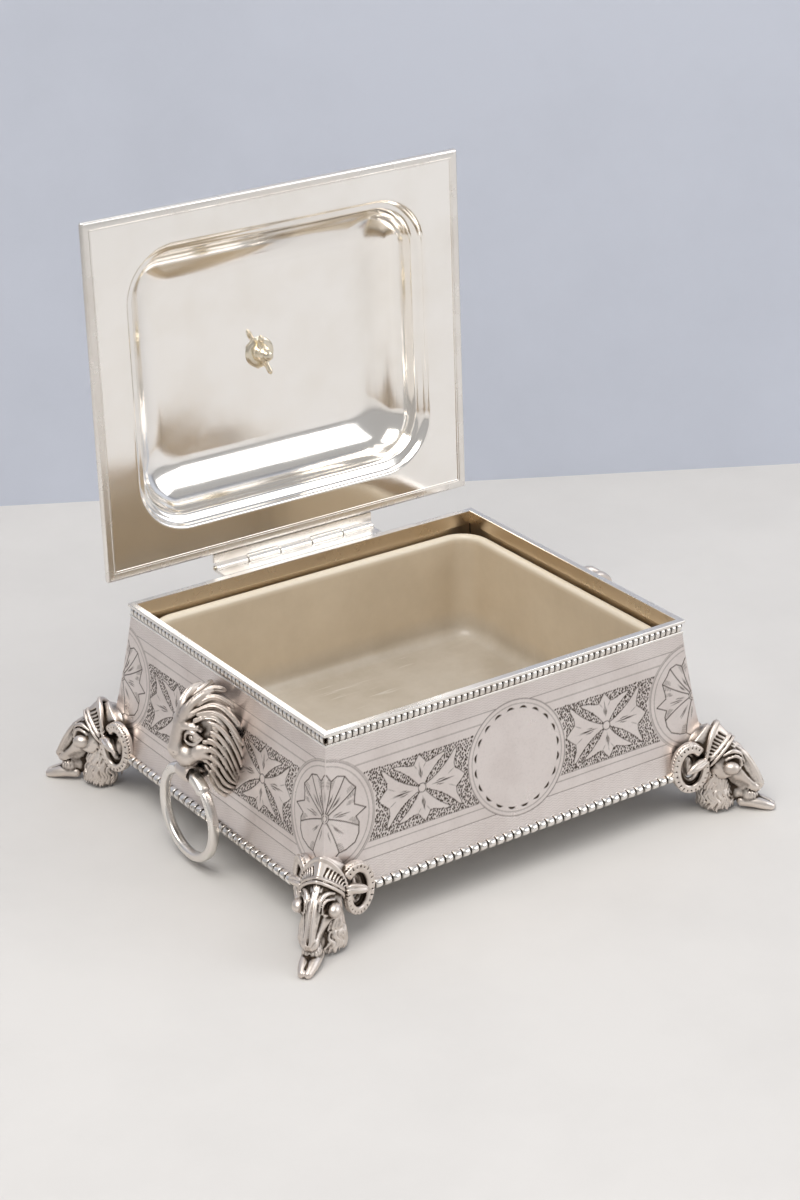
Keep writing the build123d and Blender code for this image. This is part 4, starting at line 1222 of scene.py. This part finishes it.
def liner_material():
    """Cloudy pressed glass over a warm ground, with a scuffed floor."""
    material, tree, face = shader("liner_glass")
    where = add(tree, "ShaderNodeTexCoord").outputs["Object"]
    cloud = noise(tree, where, 34.0, 6.0, 0.65)
    up = add(tree, "ShaderNodeSeparateXYZ", {0: where}).outputs[2]
    level = ramp(tree, up, 0.021, 0.030, 1.0, 0.0)
    walls = blended(tree, ramp(tree, cloud, 0.35, 0.7), (0.62, 0.52, 0.385), (0.54, 0.445, 0.32))
    floor = blended(tree, ramp(tree, cloud, 0.35, 0.65), (0.52, 0.475, 0.41), (0.42, 0.37, 0.30))
    shade = blended(tree, level, walls, floor)
    place = {"Vector": where, "Rotation": (0, 0, 0.7), "Scale": (26.0, 340.0, 60.0)}
    scuff = noise(tree, add(tree, "ShaderNodeMapping", place).outputs[0], 1.0, 3.0, 0.6)
    scuff, patches = ramp(tree, scuff, 0.60, 0.72, 0.0, 0.8), ramp(tree, cloud, 0.45, 0.6)
    marks = maths(tree, "MULTIPLY", maths(tree, "MULTIPLY", scuff, patches), level)
    shade = blended(tree, marks, shade, (0.78, 0.77, 0.74))
    shade = blended(tree, ramp(tree, up, 0.0534, 0.0552, 0.0, 0.85), shade, (0.76, 0.69, 0.57))
    fine = noise(tree, where, 300.0, 3.0)
    settings = {
        "Base Color": shade,
        "Roughness": ramp(tree, cloud, 0.3, 0.7, 0.30, 0.50),
        "Subsurface Weight": 0.15,
        "Subsurface Radius": (0.004, 0.0035, 0.003),
        "Coat Weight": 0.35,
        "Coat Roughness": 0.18,
        "Normal": bumped(tree, fine, 0.12, 0.0002),
    }
    for name, value in settings.items():
        give(tree, face.inputs[name], value)
    return material


RIM = silver("rim_silver", (0.88, 0.85, 0.81), 0.26, (0.74, 0.68, 0.62), brushed=0.1, stained=True)
LINER = liner_material()
build_rim()
for wall_side in WALL_TURNS:
    build_beads("upper_beading_" + wall_side, *FINE_BEADS)
    build_beads("lower_beading_" + wall_side, *THICK_BEADS)
build_liner()

# Lid, hinge and knob, drawn shut and swung open about the hinge line.
HINGE_LINE = Vector(frame["joints"][0]["pos_m"]) / MM - MIDDLE
LID_OPEN = math.radians(92.36)
LID_PLANE = HINGE_LINE.z
LID_X = node_box("lid_border")[1].x
LID_Y = RIM_Y + 2.0
LID_SHEET = 1.0
LID_EDGE = 2.0
LID_RISE = 14.98
TRAY_X, TRAY_Y, TRAY_CORNER = LID_X - 13.3, LID_Y - 11.3, 18.0
TRAY_STEP = [
    (-2.0, 0.0), (-0.6, -0.02), (0.0, 0.0), (0.3, 0.12), (0.62, 0.5), (0.85, 1.0),
    (1.15, 1.5), (1.6, 1.85), (2.3, 2.05), (3.0, 2.2), (3.5, 2.6), (3.9, 3.4),
]
COVE_WIDTH, COVE_RISE = 14.2, 11.2
DOME_SHARES = (0.86, 0.7, 0.52, 0.34, 0.17, 0.05)
KNUCKLES, KNUCKLE_GAP = 5, 0.14
HINGE_HALF, HINGE_BORE, HINGE_RADIUS, HINGE_SIDES = 29.85, 0.72, 1.4, 28
LEAF_SHEET = 0.95
KNOB_FOOT = (
    (0.0, 0), (1, 0), (1, 0.08), (0.97, 0.2), (0.9, 0.26), (0.86, 0.3), (0.9, 0.4),
    (0.87, 0.52), (0.74, 0.62), (0.66, 0.82), (0.62, 0.97), (0.5, 1), (0.0, 1),
)
NUT_TURN = math.radians(77.0)
STUD_RADIUS, THREAD_RADIUS, THREAD_PITCH, THREADS = 1.5, 1.36, 0.3, 14
# A fish's body as rows of place, height, half width and half height.
FISH_BODY = (
    (-18.6, 4.6, 0.5, 1.3), (-16.6, 4.5, 1.6, 3.2), (-12.0, 5.1, 2.9, 4.7), (-6.0, 5.6, 3.6, 5.3),
    (1.0, 5.6, 3.4, 5.0), (7.0, 5.6, 2.4, 3.7), (11.5, 6.6, 1.4, 2.3), (14.6, 8.2, 0.8, 1.6),
)
FISH_SCALES = (6, 11)


def opened(points, angle=LID_OPEN):
    """Points of the shut lid, swung open."""
    x, y, z = (np.asarray(points, float).reshape(-1, 3) - np.array((0, HINGE_LINE.y, HINGE_LINE.z))).T
    c, s = math.cos(-angle), math.sin(-angle)
    return np.column_stack([x, HINGE_LINE.y + c * y - s * z, HINGE_LINE.z + s * y + c * z])


def tray_ring(inset):
    corner = TRAY_CORNER - inset
    if inset >= 8:
        corner = max(corner, 10.0 - 0.2 * (inset - 8))
    return rounded_ring(TRAY_X - inset, TRAY_Y - inset, corner, 16)


def build_lid():
    """The raised sheet, with a step and a cove round a domed middle, and the moulding on its edge."""
    start, rise = TRAY_STEP[-1]
    turns = np.linspace(0.12, math.pi / 2, 14)
    cove = [(start + COVE_WIDTH * (1 - math.cos(a)) ** 0.9, rise + COVE_RISE * math.sin(a)) for a in turns]
    rings = [raised(rounded_ring(LID_X - 1.0, LID_Y - 1.0, 0.6, 16), 0.0)]
    rings += [raised(tray_ring(inset), height) for inset, height in TRAY_STEP + cove]
    last = rings[-1][:, :2]
    top = cove[-1][1]
    rings += [raised(last * share, top + 0.6 * (1 - share)) for share in DOME_SHARES]
    lower = np.array(rings)
    lower[..., 2] = LID_PLANE + 0.25 + np.minimum(lower[..., 2], LID_RISE)
    upper = lower + (0, 0, LID_SHEET)
    for ring in upper[2:-len(DOME_SHARES) - 1]:
        for axis in (0, 1):
            reach = np.abs(ring[:, axis]).max()
            ring[:, axis] *= (reach + 0.75) / reach
    points, faces = closed_stack(np.concatenate([lower[::-1], upper]), True)
    make_mesh("lid_sheet", opened(points), faces, LID, "lid", "lid_panel", 55)

    low, top = LID_PLANE, LID_PLANE + LID_EDGE
    profile = [(3.2, low + 0.25), (3.2, low + 0.02), (3.05, low)]
    profile += [(2.75, low), (2.62, low + 0.16), (2.48, low)]
    profile += arc((0.95, low + 0.95), 0.95, 270, 180, 6) + arc((0.95, top - 0.95), 0.95, 180, 90, 6)
    profile += [(2.2, top - 0.1), (2.6, top - 0.5), (3.2, top - 0.75)]
    build_frame("lid_rolled_edge", LID_X, LID_Y, profile, RIM, "lid_border", "lid", 0.9, opened)


def shut_box(name):
    """Lowest and highest corner of a lid node as it lies with the lid shut."""
    points = np.array([vertex.co for vertex in nodes[name].data.vertices]) / MM - np.array(MIDDLE)
    points = opened(points, -LID_OPEN)
    return points.min(0), points.max(0)


def prism(profile, first, last, bevel=0.12):
    """A bar along x with a profile of (y, z) and eased ends."""
    profile = np.array(profile, float)
    middle = (profile.min(0) + profile.max(0)) / 2
    half = (profile.max(0) - profile.min(0)) / 2
    small = middle + (profile - middle) * (1 - bevel / half)
    ends = ((first, small), (first + bevel, profile), (last - bevel, profile), (last, small))
    return closed_stack(np.array([raised(part, x)[:, [2, 0, 1]] for x, part in ends]))


def gathered(parts):
    """One list of points and faces from several."""
    points, faces, start = [], [], 0
    for some, blocks in parts:
        points.append(some)
        faces += [block + start for block in blocks]
        start += len(some)
    return np.concatenate(points), faces


def knuckle(start, end):
    """A rolled barrel round the hinge line between two places along it."""
    ease, radius = 0.15, HINGE_RADIUS
    profile = [(HINGE_BORE, start), (radius - ease, start), (radius, start + ease), (radius, end - ease)]
    profile += [(radius - ease, end), (HINGE_BORE, end), (HINGE_BORE, start)]
    turns = np.linspace(0, 2 * math.pi, HINGE_SIDES, endpoint=False)
    y0, z0 = HINGE_LINE.y, HINGE_LINE.z
    rows = np.array([[(x, y0 + r * math.cos(t), z0 + r * math.sin(t)) for t in turns] for r, x in profile])
    return rows.reshape(-1, 3), [grid_faces(len(profile), HINGE_SIDES, wrap_columns=True)[:, ::-1]]


def build_leaf(body, node, first, under, near):
    """A leaf of the hinge with every second knuckle."""
    top = under + LEAF_SHEET
    axis = HINGE_LINE.y
    far = axis - HINGE_RADIUS - KNUCKLE_GAP
    leaf = [(near, under), (far, under), (far, top - 0.15)]
    leaf += [(far - 0.15, top), (near + 0.3, top), (near, top - 0.3)]
    parts = [prism(leaf, -HINGE_HALF, HINGE_HALF)]
    span = 2 * HINGE_HALF / KNUCKLES
    for k in range(first, KNUCKLES, 2):
        start = -HINGE_HALF + k * span + KNUCKLE_GAP
        end = start + span - 2 * KNUCKLE_GAP
        web = [(far - 0.4, under), (axis - 0.95, under), (axis - 0.95, top), (far - 0.4, top)]
        parts += [prism(web, start, end, 0.06), knuckle(start, end)]
    points, faces = gathered(parts)
    points = opened(points) if body == "lid" else points
    make_mesh(node + "_rolled", points, faces, HINGE_METAL, body, node, 35)


def build_hinge():
    """Two leaves with rolled knuckles, three on the box and two on the lid, and the pin through them."""
    rim_top = node_box("top_rim")[1].z
    build_leaf("box", "hinge_box_leaf", 0, rim_top - 0.97, node_box("hinge_box_leaf")[0][1] + 0.02)
    build_leaf("lid", "hinge_lid_leaf", 1, LID_PLANE + 0.17, shut_box("hinge_lid_leaf")[0][1] + 0.02)
    tip = HINGE_HALF + 0.35
    profile = [(0.0, -tip), (0.4, -tip), (0.62, -tip + 0.2), (0.62, tip - 0.2), (0.4, tip), (0.0, tip)]
    points, faces = lathe(profile, 20, (1, 0, 0))
    points = points + np.array((0, HINGE_LINE.y, HINGE_LINE.z))
    make_mesh("hinge_rod", points, [faces], FIXING, "lid", "hinge_pin")


def turned(name, profile, material, node, sharp=40):
    """A turned piece of the knob."""
    points, faces = lathe(profile, 64, (0, 0, 1))
    make_mesh(name, opened(points), [faces], material, "lid", node, sharp)


def wing_nut():
    """A cone-shaped nut with two curled wings; its own height runs away from the lid."""
    clay = Clay((-7.4, -3.6, -0.3), (7.4, 3.6, 5.0), 0.2)
    clay.tube([(0, 0, 0.1), (0, 0, 1.2), (0, 0, 3.6)], (3.0, 2.6, 1.9), 0.2)
    for side in (-1, 1):
        for t in np.linspace(0, 1, 9):
            place = (side * (1.8 + 4.1 * t), 0, 1.3 + 1.7 * t**1.4)
            clay.ball(place, (1.0, 0.85 - 0.2 * t, 1.25 - 0.25 * t), blend=0.5)
        for y in (0.75, -0.75):
            clay.ball((side * 4.0, y, 2.2), (1.3, 0.45, 0.8), blend=0.4, cut=True)
    clay.level(0.0)
    clay.tube([(0, 0, -1.0), (0, 0, 6.0)], 1.62, 0.1, True)
    return clay.mesh()


def fish():
    """A small fish on its belly, its tail turned up."""
    clay = Clay((-20.0, -4.0, -0.2), (21.6, 4.0, 16.8), 0.28)
    clay.loft(FISH_BODY, (0, 0, 0), (1, 0, 0), (0, 0, 1))
    for tip_x, tip_z in ((19.6, 15.4), (17.2, 15.0), (18.6, 6.4), (16.4, 5.8)):
        bend = ((13.4 + tip_x) / 2 + 0.4, 0, (7.8 + tip_z) / 2)
        clay.tube([(13.4, 0, 7.8), bend, (tip_x, 0, tip_z)], (1.0, 1.0, 0.4), 0.8, False, 8)
    for k in range(8):
        x = -7.0 + 1.7 * k
        clay.tube([(x, 0, 10.0 - 0.2 * k), (x + 2.0, 0, 13.6 - 0.4 * abs(k - 2))], (0.7, 0.35), 0.5)
    clay.tube([(-2.0, 0, 1.4), (0.5, 0, 0.0)], (2.4, 2.8), 0.6)
    places, rises, widths, heights = zip(*FISH_BODY)
    for side in (-1, 1):
        clay.tube([(-15.2, side * 2.2, 6.6), (-15.2, side * 3.6, 6.6)], 0.8, 0.2)
        gill = [(-12.6, side * 1.0, 9.6), (-11.4, side * 3.4, 6.4), (-12.4, side * 2.6, 2.2)]
        clay.tube(gill, 0.3, 0.2, True, 10)
        clay.tube([(-19.0, side * 0.4, 4.0), (-16.0, side * 2.2, 3.6)], 0.24, 0.15, True)
        fin = [(-9.6, side * 3.2, 3.8), (-6.4, side * 4.0, 2.4), (-4.4, side * 3.6, 1.6)]
        clay.tube(fin, (0.9, 0.7, 0.3), 0.3, False, 8)
        for row, k in np.ndindex(*FISH_SCALES):
            x, z = -9.4 + 1.75 * k + 0.85 * (row % 2), 2.4 + 1.25 * row
            rise = (z - np.interp(x, places, rises)) / np.interp(x, places, heights)
            if abs(rise) < 0.9:
                y = side * np.interp(x, places, widths) * math.sqrt(1 - rise**2)
                clay.tube([(x, y, z + 0.6), (x + 0.55, y, z), (x, y, z - 0.6)], 0.22, 0.1, True)
    clay.level(0.0)
    return clay.mesh()


def build_knob():
    """The fish on its turned base above the lid, and the stud, washer and wing nut below it."""
    low, high = shut_box("knob_base")
    profile = [(high[0] * r, low[2] + (high[2] - low[2]) * z) for r, z in KNOB_FOOT]
    turned("knob_foot", profile, CAST, "knob_base")
    low, high = shut_box("fish_knob")
    points, quads, hollow = fish()
    values = {"hollow": hollow}
    points = opened(points + np.array((0, 0, low[2])))
    make_mesh("cast_fish", points, [quads], CAST, "lid", "fish_knob", 0, values)
    low, high = shut_box("knob_washer")
    hole, reach = 1.6, high[0]
    ring = [(hole, high[2]), (hole, low[2] + 0.15), (hole + 0.15, low[2]), (reach * 0.8, low[2] + 0.03)]
    ring += [(reach - 0.3, low[2] + 0.14), (reach, low[2] + 0.4), (reach, high[2]), (hole, high[2])]
    turned("washer_disc", ring, FIXING, "knob_washer")
    low, high = shut_box("wing_nut")
    points, quads, hollow = wing_nut()
    values = {"hollow": hollow}
    points = opened(spun(points, NUT_TURN) * (1, 1, -1) + np.array((0, 0, high[2])))
    quads = quads[:, ::-1]
    make_mesh("wing_nut_cast", points, [quads], FIXING, "lid", "wing_nut", 0, values)
    low, high = shut_box("knob_stud")
    end = low[2]
    profile = [(0.0, high[2]), (STUD_RADIUS, high[2])]
    for k in range(THREADS):
        turn_end = end - THREAD_PITCH * k
        profile += [(STUD_RADIUS, turn_end + 5.0), (THREAD_RADIUS, turn_end + 4.86)]
    profile += [(STUD_RADIUS, end + 0.8), (1.42, end + 0.4), (1.1, end + 0.12), (0.6, end + 0.02), (0.0, end)]
    turned("threaded_stud", profile, FIXING, "knob_stud", 30)


LID = silver("lid_silver", (0.955, 0.93, 0.895), 0.13, (0.90, 0.86, 0.80), hammer=0.10)
HINGE_METAL = silver("hinge_silver", (0.90, 0.87, 0.83), 0.24, (0.74, 0.68, 0.61), brushed=0.15)
build_lid()
build_hinge()
build_knob()


def build_drop_ring(name, joint):
    """A round wire ring that hangs in the lion's mouth, with a thicker collar on each side."""
    pivot = Vector(joint["pos_m"]) / MM - MIDDLE
    reach, wire = 13.9, 1.6
    around, round_wire = 240, 24
    u = np.linspace(0, 2 * math.pi, around, endpoint=False)
    v = np.linspace(0, 2 * math.pi, round_wire, endpoint=False)
    from_top = np.abs(np.degrees(np.arctan2(np.sin(u), np.cos(u))))
    collar = 0.5 * (np.tanh((from_top - 16) / 0.9) - np.tanh((from_top - 41) / 0.9))
    size = 1 + 0.32 * collar - 0.10 * np.exp(-(((from_top - 43.5) / 1.6) ** 2)) - 0.12 * (from_top < 14)
    flat = (np.abs(np.cos(v)) ** 3 + np.abs(np.sin(v)) ** 3) ** (-1 / 3)
    radial = reach + size[:, None] * (wire * 0.84 * flat * np.cos(v))[None, :]
    across = size[:, None] * (wire * 0.95 * flat * np.sin(v))[None, :]
    y, z = radial * np.sin(u)[:, None], radial * np.cos(u)[:, None]
    points = np.stack([pivot.x + across, pivot.y + y, pivot.z - reach + z], -1)
    faces = [grid_faces(around, round_wire, True, True)]
    node = "ring_handle_" + name
    make_mesh("drop_ring_" + name, points, faces, RIM, "ring_" + name, node, 60)


build_drop_ring("left", frame["joints"][1])
build_drop_ring("right", frame["joints"][2])


CORNERS = (("front_left", -1, -1), ("front_right", 1, -1), ("back_left", -1, 1), ("back_right", 1, 1))
CORNER_X, CORNER_Y = node_box("base_moulding")[1][:2]
NEAR_FOOT_TURN = math.radians(5.0)
OBJECT_LOW, OBJECT_HIGH = (np.array(corner / MM - MIDDLE) for corner in cad_box)


def place_feet():
    points, quads, hollow = ram_foot()
    for name, x, y in CORNERS:
        turn = math.atan2(y, x) - (NEAR_FOOT_TURN if name == "front_left" else 0.0)
        foot = spun(points, turn) + np.array([x * CORNER_X, y * CORNER_Y, 0])
        foot += np.maximum(OBJECT_LOW - foot.min(0), 0) - np.maximum(foot.max(0) - OBJECT_HIGH, 0)
        node = "foot_" + name
        make_mesh("ram_" + node, foot, [quads], CAST, "box", node, 0, {"hollow": hollow})


def place_masks():
    points, quads, hollow = lion_mask()
    for name, way in (("left", -1), ("right", 1)):
        mask = (points + np.array([RIM_X, 0, 0])) * np.array([way, way, 1])
        node = "lion_mask_" + name
        make_mesh("lion_head_" + name, mask, [quads], CAST, "box", node, 0, {"hollow": hollow})


place_feet()
place_masks()

for name, piece in nodes.items():
    if "beading" in name:
        material = BEADED
    elif name.startswith(("foot_", "lion_mask", "fish_knob", "ring_handle")):
        material = CAST
    elif name in ("knob_washer", "wing_nut", "knob_stud"):
        material = FIXING
    else:
        material = POLISHED
    piece.data.materials.clear()
    piece.data.materials.append(material)
